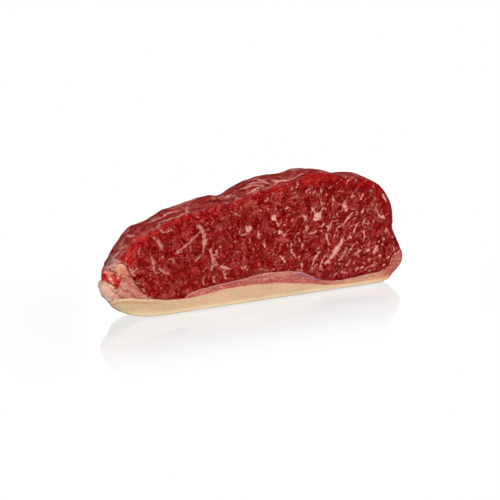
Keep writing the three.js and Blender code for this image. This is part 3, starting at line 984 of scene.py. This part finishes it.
@dataclass(frozen=True)
class FatFinish:
    """Raw fat: a waxy pale ground in lobules, drawn out in streaks, with redder ones between."""

    name: str
    ground: Colour
    warm: Colour
    deep: Colour
    pale: Colour = tone(232, 204, 188)
    vein: Colour = tone(132, 92, 120)
    above: Colour = tone(150, 30, 30)
    cream: Colour = tone(212, 160, 122)
    streak: tuple[float, float, float] = (9, 5, 2.2)
    lobule: float = 3.4
    redness: float = 0.4
    ragged: float = 1.0

    def material(self) -> bpy.types.Material:
        """The material of this finish."""
        sheet = NodeSheet(bpy.data.materials.new(self.name))
        place = sheet.warped(sheet.place, 8, 1.6)
        broad = sheet.noise(sheet.stretched(place, self.streak), 1, 3, 0.6)
        fine = sheet.noise(sheet.stretched(place, tuple(s / 2.5 for s in self.streak)), 1, 4, 0.7)
        lobules = sheet.cells(place, self.lobule, "DISTANCE_TO_EDGE").outputs["Distance"]
        lobules = sheet.ramp(lobules, 0.0, 0.22)
        colour = sheet.blend(sheet.ramp(broad, 0.35, 0.65), self.ground, self.warm)
        reddened = sheet.total((sheet.mark("tint"), 1.1), (fine, 1.4), (-0.75, 1.0))
        colour = sheet.blend(sheet.ramp(reddened, 0.0, 1.0), colour, self.deep)
        # A share towards the cream colour; on the cap this is partly painted shade.
        colour = sheet.blend(sheet.mark("cream_and_shade"), colour, self.cream)
        colour = sheet.blend(sheet.times(sheet.inverse(lobules), 0.14), colour, self.deep)
        strands = sheet.noise(sheet.stretched(sheet.warped(place, 3, 0.6), self.streak), 0.8, 2)
        colour = sheet.blend(
            sheet.times(sheet.lines(strands, 0.035), self.redness), colour, self.deep
        )
        pale_strands = sheet.times(sheet.lines(broad, 0.04), self.redness, 0.7)
        colour = sheet.blend(pale_strands, colour, self.pale)
        colour = sheet.blend(sheet.mark("pale"), colour, self.pale)
        vein = sheet.times(sheet.mark("vein"), sheet.ramp(fine, 0.3, 0.55))
        colour = sheet.blend(vein, colour, self.vein)
        blots = sheet.total((sheet.noise(sheet.place, 1.6, 3, 0.6), 3.2), (-1.6, 1.0))
        to_ceiling = sheet.total((sheet.mark("down"), 1.0), (blots, self.ragged))
        colour = sheet.blend(sheet.inverse(sheet.ramp(to_ceiling, 0.0, 0.3)), colour, self.above)
        meat = sheet.blend(sheet.ramp(fine, 0.42, 0.58), self.above, self.deep)
        meat = sheet.blend(sheet.ramp(fine, 0.62, 0.7), meat, self.pale)
        meaty = sheet.total((sheet.mark("meaty"), 1.6), (blots, 1.1), (-0.75, 1.0))
        colour = sheet.blend(sheet.ramp(meaty, 0.0, 0.4), colour, meat)
        rough = sheet.total((broad, 0.22), (0.28, 1.0))
        wet = sheet.total((sheet.ramp(broad, 0.35, 0.65), 0.14), (0.08, 1.0))
        height = sheet.total((fine, 0.7), (lobules, 0.35), (strands, 0.5))
        return sheet.finish(
            colour, rough, height, 0.35, Subsurface_Weight=0.3,
            Subsurface_Radius=(1.0, 0.55, 0.35), Subsurface_Scale=1.0 * MM,
            Specular_IOR_Level=0.0, Coat_Weight=wet, Coat_Roughness=0.3,
        )


@dataclass(frozen=True)
class WetRedFinish:
    """The torn red muscle of the tail: bright, wet and ragged, with fat between its patches."""

    name: str = "tail_red_meat"
    deep: Colour = tone(122, 10, 12)
    bright: Colour = tone(206, 42, 34)
    fat: Colour = tone(212, 122, 106)

    def material(self) -> bpy.types.Material:
        """The material of this finish."""
        sheet = NodeSheet(bpy.data.materials.new(self.name))
        place = sheet.warped(sheet.place, 3, 0.8)
        blots = sheet.noise(place, 2.4, 4, 0.65)
        fine = sheet.noise(place, 0.8, 3)
        colour = sheet.blend(sheet.ramp(blots, 0.36, 0.6), self.deep, self.bright)
        fat = sheet.total((sheet.mark("fat"), 1.3), (blots, 2.4), (-1.55, 1.0))
        fat = sheet.ramp(fat, 0.1, 0.45)
        inside = sheet.maths("SUBTRACT", sheet.mark("down"), 0.9)
        inside = sheet.maths("MINIMUM", sheet.mark("up"), inside)
        inside = sheet.total((inside, 1.0), (sheet.noise(place, 1.6, 3), -4.5), (2.0, 1.0))
        fat = sheet.maths("MAXIMUM", fat, sheet.inverse(sheet.ramp(inside, 0.2, 0.6)))
        colour = sheet.blend(fat, colour, self.fat)
        rough = sheet.total((fine, 0.2), (0.16, 1.0))
        wet = sheet.total((sheet.ramp(blots, 0.35, 0.6), 0.3), (0.15, 1.0))
        return sheet.finish(
            colour, rough, sheet.total((fine, 0.6), (fat, 0.4)), 0.45,
            Subsurface_Weight=0.15, Subsurface_Radius=(1.0, 0.25, 0.18),
            Subsurface_Scale=0.8 * MM, Specular_IOR_Level=0.0, Coat_Weight=wet,
            Coat_Roughness=0.15,
        )


class RawSurface:
    """A geometry tree that lays the small relief of raw meat over a skin."""

    SIZES = ("Lump size", "Lump height", "Grain size", "Grain height", "Seed")

    def __init__(self) -> None:
        """Builds the tree once, for every tissue."""
        tree = bpy.data.node_groups.new("raw_surface", "GeometryNodeTree")
        face = tree.interface
        face.new_socket("Geometry", in_out="INPUT", socket_type="NodeSocketGeometry")
        self.sockets = {
            name: face.new_socket(name, in_out="INPUT", socket_type="NodeSocketFloat").identifier
            for name in self.SIZES
        }
        self.finish = face.new_socket(
            "Finish", in_out="INPUT", socket_type="NodeSocketMaterial"
        ).identifier
        face.new_socket("Geometry", in_out="OUTPUT", socket_type="NodeSocketGeometry")
        self.tree = tree
        given = tree.nodes.new("NodeGroupInput")
        grain = self._named("grain", "FLOAT_VECTOR")
        free = self._named("free", "FLOAT")
        lumps = self._noise(self._position(), given, "Lump size", 2.0)
        ridges = self._noise(grain, given, "Grain size", 1.0)
        height = self._maths(
            "ADD", self._maths("MULTIPLY", lumps, given.outputs["Lump height"]),
            self._maths("MULTIPLY", ridges, given.outputs["Grain height"]),
        )
        height = self._maths("MULTIPLY", height, free)
        normal = tree.nodes.new("GeometryNodeInputNormal")
        offset = self._vector("SCALE", normal.outputs[0], None, height)
        offset = self._vector("SCALE", offset, None, MM)
        moved = tree.nodes.new("GeometryNodeSetPosition")
        tree.links.new(given.outputs["Geometry"], moved.inputs["Geometry"])
        tree.links.new(offset, moved.inputs["Offset"])
        whole = tree.nodes.new("GeometryNodeRealizeInstances")
        tree.links.new(moved.outputs[0], whole.inputs[0])
        dressed = tree.nodes.new("GeometryNodeSetMaterial")
        tree.links.new(whole.outputs[0], dressed.inputs["Geometry"])
        tree.links.new(given.outputs["Finish"], dressed.inputs["Material"])
        out = tree.nodes.new("NodeGroupOutput")
        tree.links.new(dressed.outputs[0], out.inputs[0])

    def _position(self) -> Socket:
        """The place of each point, in millimetres."""
        node = self.tree.nodes.new("GeometryNodeInputPosition")
        return self._vector("SCALE", node.outputs[0], None, 1 / MM)

    def _named(self, name: str, kind: str) -> Socket:
        """A mark that the mesh carries."""
        node = self.tree.nodes.new("GeometryNodeInputNamedAttribute")
        node.data_type = kind
        node.inputs["Name"].default_value = name
        return node.outputs["Attribute"]

    def _maths(self, operation: str, first: object, second: object) -> Socket:
        """One sum of two numbers."""
        node = self.tree.nodes.new("ShaderNodeMath")
        node.operation = operation
        for socket, value in zip(node.inputs, (first, second)):
            if isinstance(value, bpy.types.NodeSocket):
                self.tree.links.new(value, socket)
            else:
                socket.default_value = value
        return node.outputs[0]

    def _vector(self, operation: str, first: Socket, second: object, scale: object) -> Socket:
        """One sum of vectors."""
        node = self.tree.nodes.new("ShaderNodeVectorMath")
        node.operation = operation
        self.tree.links.new(first, node.inputs[0])
        if isinstance(second, bpy.types.NodeSocket):
            self.tree.links.new(second, node.inputs[1])
        if isinstance(scale, bpy.types.NodeSocket):
            self.tree.links.new(scale, node.inputs["Scale"])
        elif scale is not None:
            node.inputs["Scale"].default_value = scale
        return node.outputs[0]

    def _noise(self, place: Socket, given: bpy.types.Node, size: str, detail: float) -> Socket:
        """A noise of a named size, from -1 to 0, so that no relief stands proud."""
        node = self.tree.nodes.new("ShaderNodeTexNoise")
        node.noise_dimensions = "4D"
        self.tree.links.new(place, node.inputs["Vector"])
        self.tree.links.new(given.outputs["Seed"], node.inputs["W"])
        self.tree.links.new(
            self._maths("DIVIDE", 1.0, given.outputs[size]), node.inputs["Scale"]
        )
        node.inputs["Detail"].default_value = detail
        return self._maths("SUBTRACT", node.outputs["Fac"], 0.75)

    def applied(
        self, skin: bpy.types.Object, sizes: dict[str, float], finish: bpy.types.Material
    ) -> bpy.types.Object:
        """Lays the relief over a skin and leaves a plain mesh.

        Args:
            skin: The object that carries the skin.
            sizes: The value of each named input.
            finish: The material.

        Returns:
            The same object, with its new mesh and no modifier.
        """
        modifier = skin.modifiers.new("raw_surface", "NODES")
        modifier.node_group = self.tree
        for name, identifier in self.sockets.items():
            modifier[identifier] = float(sizes[name])
        modifier[self.finish] = finish
        evaluated = skin.evaluated_get(bpy.context.evaluated_depsgraph_get())
        mesh = bpy.data.meshes.new_from_object(evaluated)
        skin.modifiers.remove(modifier)
        old = skin.data
        skin.data = mesh
        mesh.name = skin.name
        bpy.data.meshes.remove(old)
        return skin


@dataclass
class Tissue:
    """One tissue of the slice, from its floor line to its ceiling and right through the slab."""

    node: str
    slot: str
    ceiling: tuple[Edge, ...]
    floor: tuple[Edge, ...]
    proud: float
    dip: float
    swell: float
    stations: int
    layers: int
    rows: int
    lump_size: float = 6
    lump_height: float = 0.5
    grain_size: float = 1.6
    grain_height: float = 0.3
    seed: int = 1

    def columns(self) -> tuple[np.ndarray, np.ndarray]:
        """The matching points of floor and ceiling, from the first tip to the last.

        Returns:
            The points of the floor and those of the ceiling.
        """
        upper = np.vstack([FORM.border(edge, Side.BELOW) for edge in self.ceiling])
        lower = np.vstack([FORM.border(edge, Side.ABOVE) for edge in self.floor])
        upper_fine, lower_fine = (spaced(line, len(lower)) for line in (upper, lower))
        wide = np.flatnonzero(np.hypot(*(upper_fine - lower_fine).T) >= FORM.tip)
        span = slice(wide[0], wide[-1] + 1)
        return tuple(spaced(line[span], self.stations, 8) for line in (lower_fine, upper_fine))

    def face_detail(self, x: np.ndarray, z: np.ndarray, marks: Marks) -> np.ndarray:
        """How far the front face stands out at places, beyond the plain form."""
        return np.zeros_like(x)

    def wall_detail(self, z: np.ndarray, marks: Marks) -> np.ndarray:
        """How far the outer skin stands out at places, beyond the plain form."""
        return np.zeros_like(z)

    def own_marks(self, x: np.ndarray, z: np.ndarray, marks: Marks) -> Marks:
        """The marks that this tissue's finish follows."""
        return {}

    def finish(self) -> bpy.types.Material:
        """The material of this tissue."""
        raise NotImplementedError

    def skin(self) -> bpy.types.Object:
        """The tissue's fine skin, with its marks.

        Returns:
            An object at the origin, with its place in its mesh, in metres.
        """
        bottom, top = self.columns()
        lattice, quads = box_shell(self.stations, self.layers, self.rows)
        i, j, k = lattice.T
        share = crowded(k / self.rows, 0.35)
        through = crowded(j / self.layers, 0.4)
        x, z = (bottom[i] + share[:, None] * (top[i] - bottom[i])).T
        flat, back_to = np.unique(i * (self.rows + 1) + k, return_inverse=True)
        first = np.zeros(len(flat), int)
        first[back_to] = np.arange(len(x))
        edge = edge_at(x[first], z[first])
        edge = EdgeReading(*(
            v[back_to] for v in (edge.distance, edge.out_x, edge.out_z, edge.around)
        ))
        height = np.hypot(*(top - bottom).T)
        ends = [edge_at(*line.T).distance > FORM.overlap + 0.1 for line in (bottom, top)]
        up = np.where(ends[0][i], height[i] * share, 99)
        down = np.where(ends[1][i], height[i] * (1 - share), 99)
        front, back = FORM.faces(x, z, edge.distance, np.minimum(up, down), self)
        marks = {
            "edge": edge.distance, "around": edge.around, "up": up, "down": down,
            "wall": (k == self.rows) | (k == 0), "side": np.where(through < 0.5, -1.0, 1.0),
        }
        front = front - self.face_detail(x, z, marks)
        y = front + through * (back - front)
        marks["y"] = y
        marks["in_front"] = y - front
        marks["in_back"] = back - y
        points = FORM.placed(x, z, y, edge, self.wall_detail(z, marks))
        tilt = fibre_tilt(x)
        carried = {
            "grain": np.column_stack([x - (z - 30) * tilt, y, z]),
            "free": ramp(z, (0.05, 2.5)),
            "up": np.minimum(up, 9),
            "down": np.minimum(down, 9),
            **self.own_marks(x, z, marks),
        }
        mesh = bpy.data.meshes.new(self.node + "_skin")
        mesh.from_pydata(points * MM, [], quads)
        mesh.polygons.foreach_set("use_smooth", np.ones(len(quads), bool))
        for name, values in carried.items():
            kind, field = ("FLOAT_VECTOR", "vector") if values.ndim > 1 else ("FLOAT", "value")
            layer = mesh.attributes.new(name, kind, "POINT")
            layer.data.foreach_set(field, values.astype(np.float32).ravel())
        made = bpy.data.objects.new(self.node + "_skin", mesh)
        bpy.context.scene.collection.objects.link(made)
        return made

    def build(self, relief: RawSurface) -> bpy.types.Object:
        """Makes the piece and puts it in its node's place.

        Args:
            relief: The tree that lays the small relief over the skin.

        Returns:
            The finished piece.
        """
        sizes = {
            "Lump size": self.lump_size, "Lump height": self.lump_height,
            "Grain size": self.grain_size, "Grain height": self.grain_height, "Seed": self.seed,
        }
        piece = relief.applied(self.skin(), sizes, self.finish())
        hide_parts(self.node)
        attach(piece, "root")
        LOG.info("%s: %d faces", piece.name, len(piece.data.polygons))
        return piece


@dataclass
class LeanMuscle(Tissue):
    """The lean, which is most of the slice."""

    node: str = "lean_muscle"
    slot: str = "lean"
    ceiling: tuple[Edge, ...] = (CROWN,)
    floor: tuple[Edge, ...] = (
        LEAN_ON_MUSCLE, LEAN_ON_NUB, LEAN_ON_TAIL, LEAN_ON_CAP, LEAN_ON_SEAM,
    )
    proud: float = 0.9
    dip: float = 0.95
    swell: float = 1
    stations: int = 330
    layers: int = 34
    rows: int = 92

    def own_marks(self, x: np.ndarray, z: np.ndarray, marks: Marks) -> Marks:
        """Where the bevel's painted highlight, the skin, the film, the torn patch at the tail end of
        the ridge with its painted light, and the flecks are.
        """
        front = marks["side"] < 0
        front_face = front & (marks["in_front"] < 0.01)
        back_face = ~front & (marks["in_back"] < 0.01)
        wall = marks["wall"] & (marks["edge"] < 0.01)
        lap = 0.5 + 0.7 * (1 - ramp(x, (-74, -50))) + 0.3 * swell_at(x * 6, z * 6, 8)
        rim = np.where(wall, ramp(marks["in_front"], (0, 0.8)), 0)
        rim = np.maximum(rim, np.where(front_face, 1 - ramp(marks["edge"] / lap, (0.6, 1.3)), 0))
        # The band of painted highlight below the ridge, wide at the tail end and towards the blunt end.
        width = lap + 2.2 + 4 * (1 - ramp(x, (-82, -66))) + 6 * ramp(x, (5, 45))
        painted_ridge_light = 1 - ramp(marks["edge"] / width, (0.45, 1.15))
        painted_ridge_light *= np.where(front, 1, 0) * (1 - rim) * ramp(z, (28, 34))
        painted_ridge_light *= 1 - 0.4 * band(x, (-52, -40, -6, 8))
        # The tapering patch at the tail end of the ridge, and a line along the ridge itself, both
        # painted highlight of the lit bevel.
        up_wedge = 0.49 * (x + 84.9) + 0.87 * (z - 34)
        beside = 0.87 * (x + 84.9) - 0.49 * (z - 34)
        room = 3.8 - 0.22 * np.maximum(up_wedge, 0) - 1.2 * np.maximum(-up_wedge, 0)
        ridge = band(marks["edge"], (lap, lap + 0.4, lap + 1, lap + 2)) * band(x, (-79, -74, -60, -4))
        wedge = np.where(front, np.maximum(1 - ramp(np.abs(beside) - room, (-1, 0.6)), 0.42 * ridge), 0)
        along = 0.75 * (x + 93) + 0.66 * (z - 33)
        across = 0.75 * (z - 33) - 0.66 * (x + 93)
        behind = ramp(marks["y"] + 2 * swell_at(z * 4, x * 4, 5), (-3, 5))
        film = (1 - ramp(np.hypot(along / 6.5, across / 3.4), (0.7, 1.1))) * (1 - behind)
        large = np.column_stack([np.full(len(x), 9.0), np.full(len(x), -9.0), np.ones(len(x))])
        small = large.copy()
        before, after = Marbling(11), Marbling(23, small_count=480)
        large[front_face] = before.marks(
            x[front_face], z[front_face], before.branched(FACE_STROKES)
        )
        small[front_face] = before.marks(x[front_face], z[front_face], before.scattered())
        mirrored = tuple(
            Stroke(stroke.width, tuple((4 - px, pz) for px, pz in stroke.path))
            for stroke in FACE_STROKES[::2]
        )
        large[back_face] = after.marks(x[back_face], z[back_face], after.branched(mirrored))
        small[back_face] = after.marks(x[back_face], z[back_face], after.scattered())
        large[front_face, 2] *= 0.52 + 0.48 * ramp(x[front_face], (-50, 0))
        large[wall] = before.marks(x[wall], marks["y"][wall], SKIN_STROKES + SKIN_FILMS)
        return {
            "rim": rim, "painted_ridge_light": painted_ridge_light, "film": film, "fleck_large": large, "fleck_small": small,
            "wedge": wedge, "skin": np.column_stack([marks["around"], marks["y"], marks["edge"]]),
        }

    def finish(self) -> bpy.types.Material:
        """Raw lean meat."""
        return LeanFinish().material()


@dataclass
class FatTissue(Tissue):
    """A tissue of fat, whose marks are a tint, pale places and a vein."""

    def own_marks(self, x: np.ndarray, z: np.ndarray, marks: Marks) -> Marks:
        """A plain ground."""
        return dict.fromkeys(("tint", "pale", "vein", "meaty", "cream_and_shade"), np.zeros_like(x))


@dataclass
class FatCap(FatTissue):
    """The thick cream fat that the slice stands on."""

    node: str = "fat_cap"
    slot: str = "cap_fat"
    ceiling: tuple[Edge, ...] = (TAIL_ON_CAP, LEAN_ON_CAP, SEAM_ON_CAP)
    floor: tuple[Edge, ...] = (FOOT,)
    proud: float = 0.2
    dip: float = 0.2
    swell: float = 0.5
    stations: int = 300
    layers: int = 34
    rows: int = 18
    lump_height: float = 0.4
    grain_height: float = 0.12
    seed: int = 5

    def own_marks(self, x: np.ndarray, z: np.ndarray, marks: Marks) -> Marks:
        """Pinker at the blunt end, paler by the floor with painted light, darker and yellower towards
        the tail with painted shade, and a ledge over a brown line at the tail.
        """
        tail = 1 - ramp(x, (-76, -58))
        tint = 0.5 * ramp(x, (50, 100)) + 0.3 * (1 - ramp(marks["down"], (0, 4)))
        pale = 0.5 * band(marks["down"], (-1, 0.2, 0.7, 1.6)) * tail
        # Paler by the floor: partly the fat's own pale foot, partly painted light that lifts the
        # contact shadow there.
        pale += 0.9 * (1 - ramp(z, (0.6, 4.5 + 3 * (1 - ramp(x, (-84, -56))))))
        vein = 0.8 * band(marks["down"], (1.6, 2.2, 2.7, 3.5)) * tail
        own = {"tint": tint, "pale": np.clip(pale, 0, 1), "vein": vein}
        # Darker and yellower towards the tail: partly the fat's own yellow, partly painted shade.
        own["cream_and_shade"] = 0.7 * (1 - ramp(x, (-100, -10)))
        return super().own_marks(x, z, marks) | own

    def finish(self) -> bpy.types.Material:
        """Cream fat."""
        return FatFinish(
            "cap_cream_fat", tone(204, 177, 142), tone(212, 172, 142), tone(206, 118, 98),
            pale=tone(234, 210, 174), vein=tone(186, 128, 92), above=tone(190, 112, 96),
            # The darker, yellower cream here is partly painted shade on the tail half.
            cream=tone(186, 166, 126), redness=0.12,
        ).material()


@dataclass
class SeamFat(FatTissue):
    """The pink layer between the lean and the cap, and the lump at the blunt end."""

    node: str = "seam_fat"
    slot: str = "seam_fat"
    ceiling: tuple[Edge, ...] = (LEAN_ON_SEAM,)
    floor: tuple[Edge, ...] = (SEAM_ON_CAP, BLUNT_LUMP)
    proud: float = -0.1
    dip: float = 0
    swell: float = 0.5
    stations: int = 300
    layers: int = 30
    rows: int = 18
    lump_height: float = 0.35
    grain_height: float = 0.15
    seed: int = 7

    def own_marks(self, x: np.ndarray, z: np.ndarray, marks: Marks) -> Marks:
        """Redder and torn at the blunt end, a white line under the lean, and a vein by it."""
        lump = ramp(x, (84, 92))
        tint = 0.4 + 0.1 * (1 - ramp(x, (-40, -10)))
        pale = band(marks["down"], (-1, 0.1, 0.6, 1.4)) * (0.45 + 0.45 * band(x, (22, 32, 78, 90)))
        pale *= 1 - lump
        vein = band(x, (22, 29, 40, 50)) * band(marks["down"], (0.2, 1, 2.5, 4.5)) * 0.7
        meaty = lump * ramp(marks["edge"], (3, 8)) * ramp(z, (6, 12)) * 0.44
        cream_and_shade = 0.9 * ramp(x, (44, 62)) * (1 - lump) * (1 - pale)
        return {
            "tint": np.clip(tint, 0, 1), "pale": pale, "vein": vein, "meaty": meaty,
            "cream_and_shade": cream_and_shade, "down": np.minimum(marks["down"], 9) - 1.4 * lump,
        }

    def wall_detail(self, z: np.ndarray, marks: Marks) -> np.ndarray:
        """Hollows down the skin of the lump."""
        hollows = swell_at(marks["y"] * 2.6, z * 1.8, 5) - 0.4
        return 0.4 * hollows * (1 - ramp(marks["edge"], (0, 3))) * band(z, (5, 8, 19, 22))

    def finish(self) -> bpy.types.Material:
        """Pink fat in streaks."""
        return FatFinish(
            "seam_pink_fat", tone(192, 122, 107), tone(180, 96, 84), tone(160, 50, 45),
            pale=tone(230, 166, 154), above=tone(128, 14, 16),
            streak=(18, 5, 1.2), lobule=2.6, redness=0.9,
        ).material()


@dataclass
class TailFat(FatTissue):
    """The pink fat of the tail, in slanting folds."""

    node: str = "tail_fat"
    slot: str = "tail_fat"
    ceiling: tuple[Edge, ...] = (MUSCLE_ON_TAIL, NUB_ON_TAIL, LEAN_ON_TAIL)
    floor: tuple[Edge, ...] = (TAIL_FOLD, TAIL_ON_CAP)
    proud: float = 0
    dip: float = 0.5
    swell: float = 1.2
    stations: int = 110
    layers: int = 34
    rows: int = 34
    lump_height: float = 0.4
    grain_height: float = 0.15
    seed: int = 9

    def folds(self, x: np.ndarray, z: np.ndarray) -> np.ndarray:
        """Slanting folds, from 0 in their creases to 1 on their backs."""
        across = 0.58 * x + 0.81 * z + 1.6 * swell_at(x * 2.5, z * 2.5, 4)
        return np.abs(np.sin(math.pi * across / 5)) ** 0.5

    def face_detail(self, x: np.ndarray, z: np.ndarray, marks: Marks) -> np.ndarray:
        """The folds stand out between their creases."""
        return 1.2 * (self.folds(x, z) - 0.8) * ramp(marks["edge"], (0, 3))

    def wall_detail(self, z: np.ndarray, marks: Marks) -> np.ndarray:
        """Thin folds down the end of the tail, and a notch under the red muscle."""
        at_skin = (1 - ramp(marks["edge"], (0, 2))) * band(z, (8, 12, 22, 25))
        ripple = np.sin(2 * math.pi * (marks["y"] + 0.3 * z) / 3.4 + np.sin(z / 2.3))
        notch = np.exp(-(((z - 24) / 1.3) ** 2)) * (1 - ramp(marks["edge"], (0, 3)))
        return 0.4 * (ripple - 0.7) * at_skin - 0.9 * notch

    def own_marks(self, x: np.ndarray, z: np.ndarray, marks: Marks) -> Marks:
        """Darker red in the creases as painted shade, and paler at the end."""
        creases = 1 - self.folds(x, z)
        pale = 0.65 * (1 - ramp(x, (-98, -88)))
        # The tint deepens in the creases: painted shade that sets the folds apart.
        return super().own_marks(x, z, marks) | {"tint": 0.25 + 0.5 * creases, "pale": pale}

    def finish(self) -> bpy.types.Material:
        """Pink fat."""
        return FatFinish(
            "tail_pink_fat", tone(202, 142, 124), tone(192, 114, 98), tone(164, 68, 60),
            pale=tone(226, 188, 168), above=tone(168, 40, 38), streak=(5, 5, 2.4), lobule=2.4,
            redness=0.5, ragged=2.2,
        ).material()


@dataclass
class TailNub(FatTissue):
    """The peach nub of fat between the lean and the tail."""

    node: str = "tail_nub"
    slot: str = "nub_fat"
    ceiling: tuple[Edge, ...] = (LEAN_ON_NUB,)
    floor: tuple[Edge, ...] = (NUB_ON_MUSCLE, NUB_ON_TAIL)
    proud: float = 1.1
    dip: float = 0.6
    swell: float = 0.6
    stations: int = 44
    layers: int = 40
    rows: int = 22
    lump_size: float = 2.4
    lump_height: float = 1.1
    grain_height: float = 0.1
    seed: int = 13

    def own_marks(self, x: np.ndarray, z: np.ndarray, marks: Marks) -> Marks:
        """Redder on the side of the lean, and paler along the top."""
        tint = 0.7 * ramp(x + 0.35 * (z - 30), (-86.8, -84.4))
        pale = 0.6 * band(marks["down"], (-1, 0.3, 0.8, 2)) * (1 - ramp(x, (-88, -85.5)))
        return super().own_marks(x, z, marks) | {"tint": tint, "pale": pale}

    def finish(self) -> bpy.types.Material:
        """Peach fat."""
        return FatFinish(
            "nub_peach_fat", tone(198, 130, 98), tone(180, 90, 70), tone(168, 56, 50),
            pale=tone(228, 176, 150), above=tone(184, 84, 76), streak=(3, 3, 2), lobule=2.2,
            redness=0.7, ragged=1.5,
        ).material()


@dataclass
class TailMuscle(Tissue):
    """The torn red muscle of the tail."""

    node: str = "tail_muscle"
    slot: str = "tail_lean"
    ceiling: tuple[Edge, ...] = (LEAN_ON_MUSCLE, NUB_ON_MUSCLE)
    floor: tuple[Edge, ...] = (TAIL_SIDE, MUSCLE_ON_TAIL)
    proud: float = -0.5
    dip: float = 0.7
    swell: float = 1.2
    stations: int = 70
    layers: int = 40
    rows: int = 22
    lump_size: float = 3
    lump_height: float = 0.9
    grain_height: float = 0.3
    seed: int = 17

    def own_marks(self, x: np.ndarray, z: np.ndarray, marks: Marks) -> Marks:
        """Fat between the two red patches, and over the back."""
        across = x + 0.3 * (z - 25) + 0.9 * swell_at(x * 5, z * 5, 6)
        fat = 0.85 * band(across, (-96.8, -95.7, -95.2, -94))
        return {"fat": np.maximum(fat, ramp(marks["y"] + 2 * swell_at(z * 4, x * 4, 3), (2, 7)))}

    def finish(self) -> bpy.types.Material:
        """Wet red meat."""
        return WetRedFinish().material()


@dataclass(frozen=True)
class Studio:
    """The pale floor, the soft lights and the camera."""

    aim: tuple[float, float, float] = (-FORM.middle[0] * MM, -FORM.middle[1] * MM, 0.030)
    yaw: float = 25.5
    elevation: float = 16.5
    distance: float = 0.9
    lens: float = 105

    def build(self) -> None:
        """Sets up everything round the steak."""
        self.floor()
        self.lights()
        self.camera()
        bpy.context.scene.view_settings.view_transform = "Standard"

    def floor(self) -> None:
        """A wide white floor, polished round the steak, that lights it less than it shows."""
        half = 4.0
        mesh = bpy.data.meshes.new("floor")
        corners = [(-half, -half, 0), (half, -half, 0), (half, half, 0), (-half, half, 0)]
        mesh.from_pydata(corners, [], [(0, 1, 2, 3)])
        floor = bpy.data.objects.new("floor", mesh)
        bpy.context.scene.collection.objects.link(floor)
        sheet = NodeSheet(bpy.data.materials.new("white_floor"))
        path = sheet.add("ShaderNodeLightPath").outputs
        glow = sheet.add("ShaderNodeEmission")
        dimmed = sheet.times(
            sheet.inverse(sheet.times(path["Is Diffuse Ray"], 0.65)),
            sheet.inverse(sheet.times(path["Is Glossy Ray"], 0.6)),
        )
        sheet.feed(glow.inputs["Strength"], dimmed)
        polish = sheet.add("ShaderNodeBsdfGlossy")
        polish.inputs["Roughness"].default_value = 0.12
        along, through, _ = sheet.parts(sheet.place)
        fade = sheet.times(
            sheet.inverse(sheet.ramp(sheet.maths("ABSOLUTE", through), 8.0, 105.0)),
            sheet.inverse(sheet.ramp(sheet.maths("ABSOLUTE", along), 100.0, 190.0)), 0.27,
        )
        mixed = sheet.add("ShaderNodeMixShader")
        sheet.feed(mixed.inputs[0], fade)
        sheet.feed(mixed.inputs[1], glow.outputs[0])
        sheet.feed(mixed.inputs[2], polish.outputs[0])
        out = sheet.add("ShaderNodeOutputMaterial")
        sheet.feed(out.inputs["Surface"], mixed.outputs[0])
        floor.data.materials.append(sheet.owner)

    def lights(self) -> None:
        """Soft key, top and back lights, a small one for the glints, and a white surround."""
        for name, place, size, power in (
            ("key", (-0.45, -0.9, 0.6), 0.35, 10.0),
            ("top", (0.1, 0.1, 0.95), 0.5, 1.8),
            ("glint", (0.4, -0.85, 0.45), 0.12, 2.4),
            ("back", (0.5, 0.95, 0.28), 0.5, 4.0),
        ):
            data = bpy.data.lights.new(name, "AREA")
            data.size = size
            data.energy = power
            lamp = bpy.data.objects.new(name, data)
            lamp.location = place
            lamp.rotation_euler = (Vector(self.aim) - lamp.location).to_track_quat("-Z", "Y").to_euler()
            bpy.context.scene.collection.objects.link(lamp)
        world = bpy.data.worlds.new("surround")
        bpy.context.scene.world = world
        sheet = NodeSheet(world)
        path = sheet.add("ShaderNodeLightPath").outputs
        upward = sheet.parts(sheet.add("ShaderNodeTexCoord").outputs["Generated"])[2]
        high = sheet.ramp(upward, 0.4, 0.65)
        dimmed = sheet.times(
            sheet.inverse(sheet.times(path["Is Diffuse Ray"], 0.75)),
            sheet.inverse(sheet.times(path["Is Glossy Ray"], high, 0.6)), 1.05,
        )
        ground = sheet.add("ShaderNodeBackground")
        ground.inputs["Color"].default_value = (1, 1, 1, 1)
        sheet.feed(ground.inputs["Strength"], dimmed)
        out = sheet.add("ShaderNodeOutputWorld")
        sheet.feed(out.inputs["Surface"], ground.outputs[0])

    def camera(self) -> None:
        """The camera, at the photograph's viewing angle."""
        yaw, rise = math.radians(-self.yaw), math.radians(self.elevation)
        back = Vector((
            math.sin(yaw) * math.cos(rise), -math.cos(yaw) * math.cos(rise), math.sin(rise),
        ))
        data = bpy.data.cameras.new("camera")
        data.lens = self.lens
        data.sensor_width = 36
        data.clip_start = 0.01
        camera = bpy.data.objects.new("camera", data)
        camera.location = Vector(self.aim) + back * self.distance
        camera.rotation_euler = (-back).to_track_quat("-Z", "Y").to_euler()
        bpy.context.scene.collection.objects.link(camera)
        bpy.context.scene.camera = camera


def main() -> None:
    """Builds the steak, tissue by tissue, and the studio round it."""
    logging.basicConfig(level=logging.INFO)
    relief = RawSurface()
    for tissue in (LeanMuscle(), TailNub(), TailMuscle(), TailFat(), SeamFat(), FatCap()):
        tissue.build(relief)
    Studio().build()


if __name__ == "__main__":
    main()
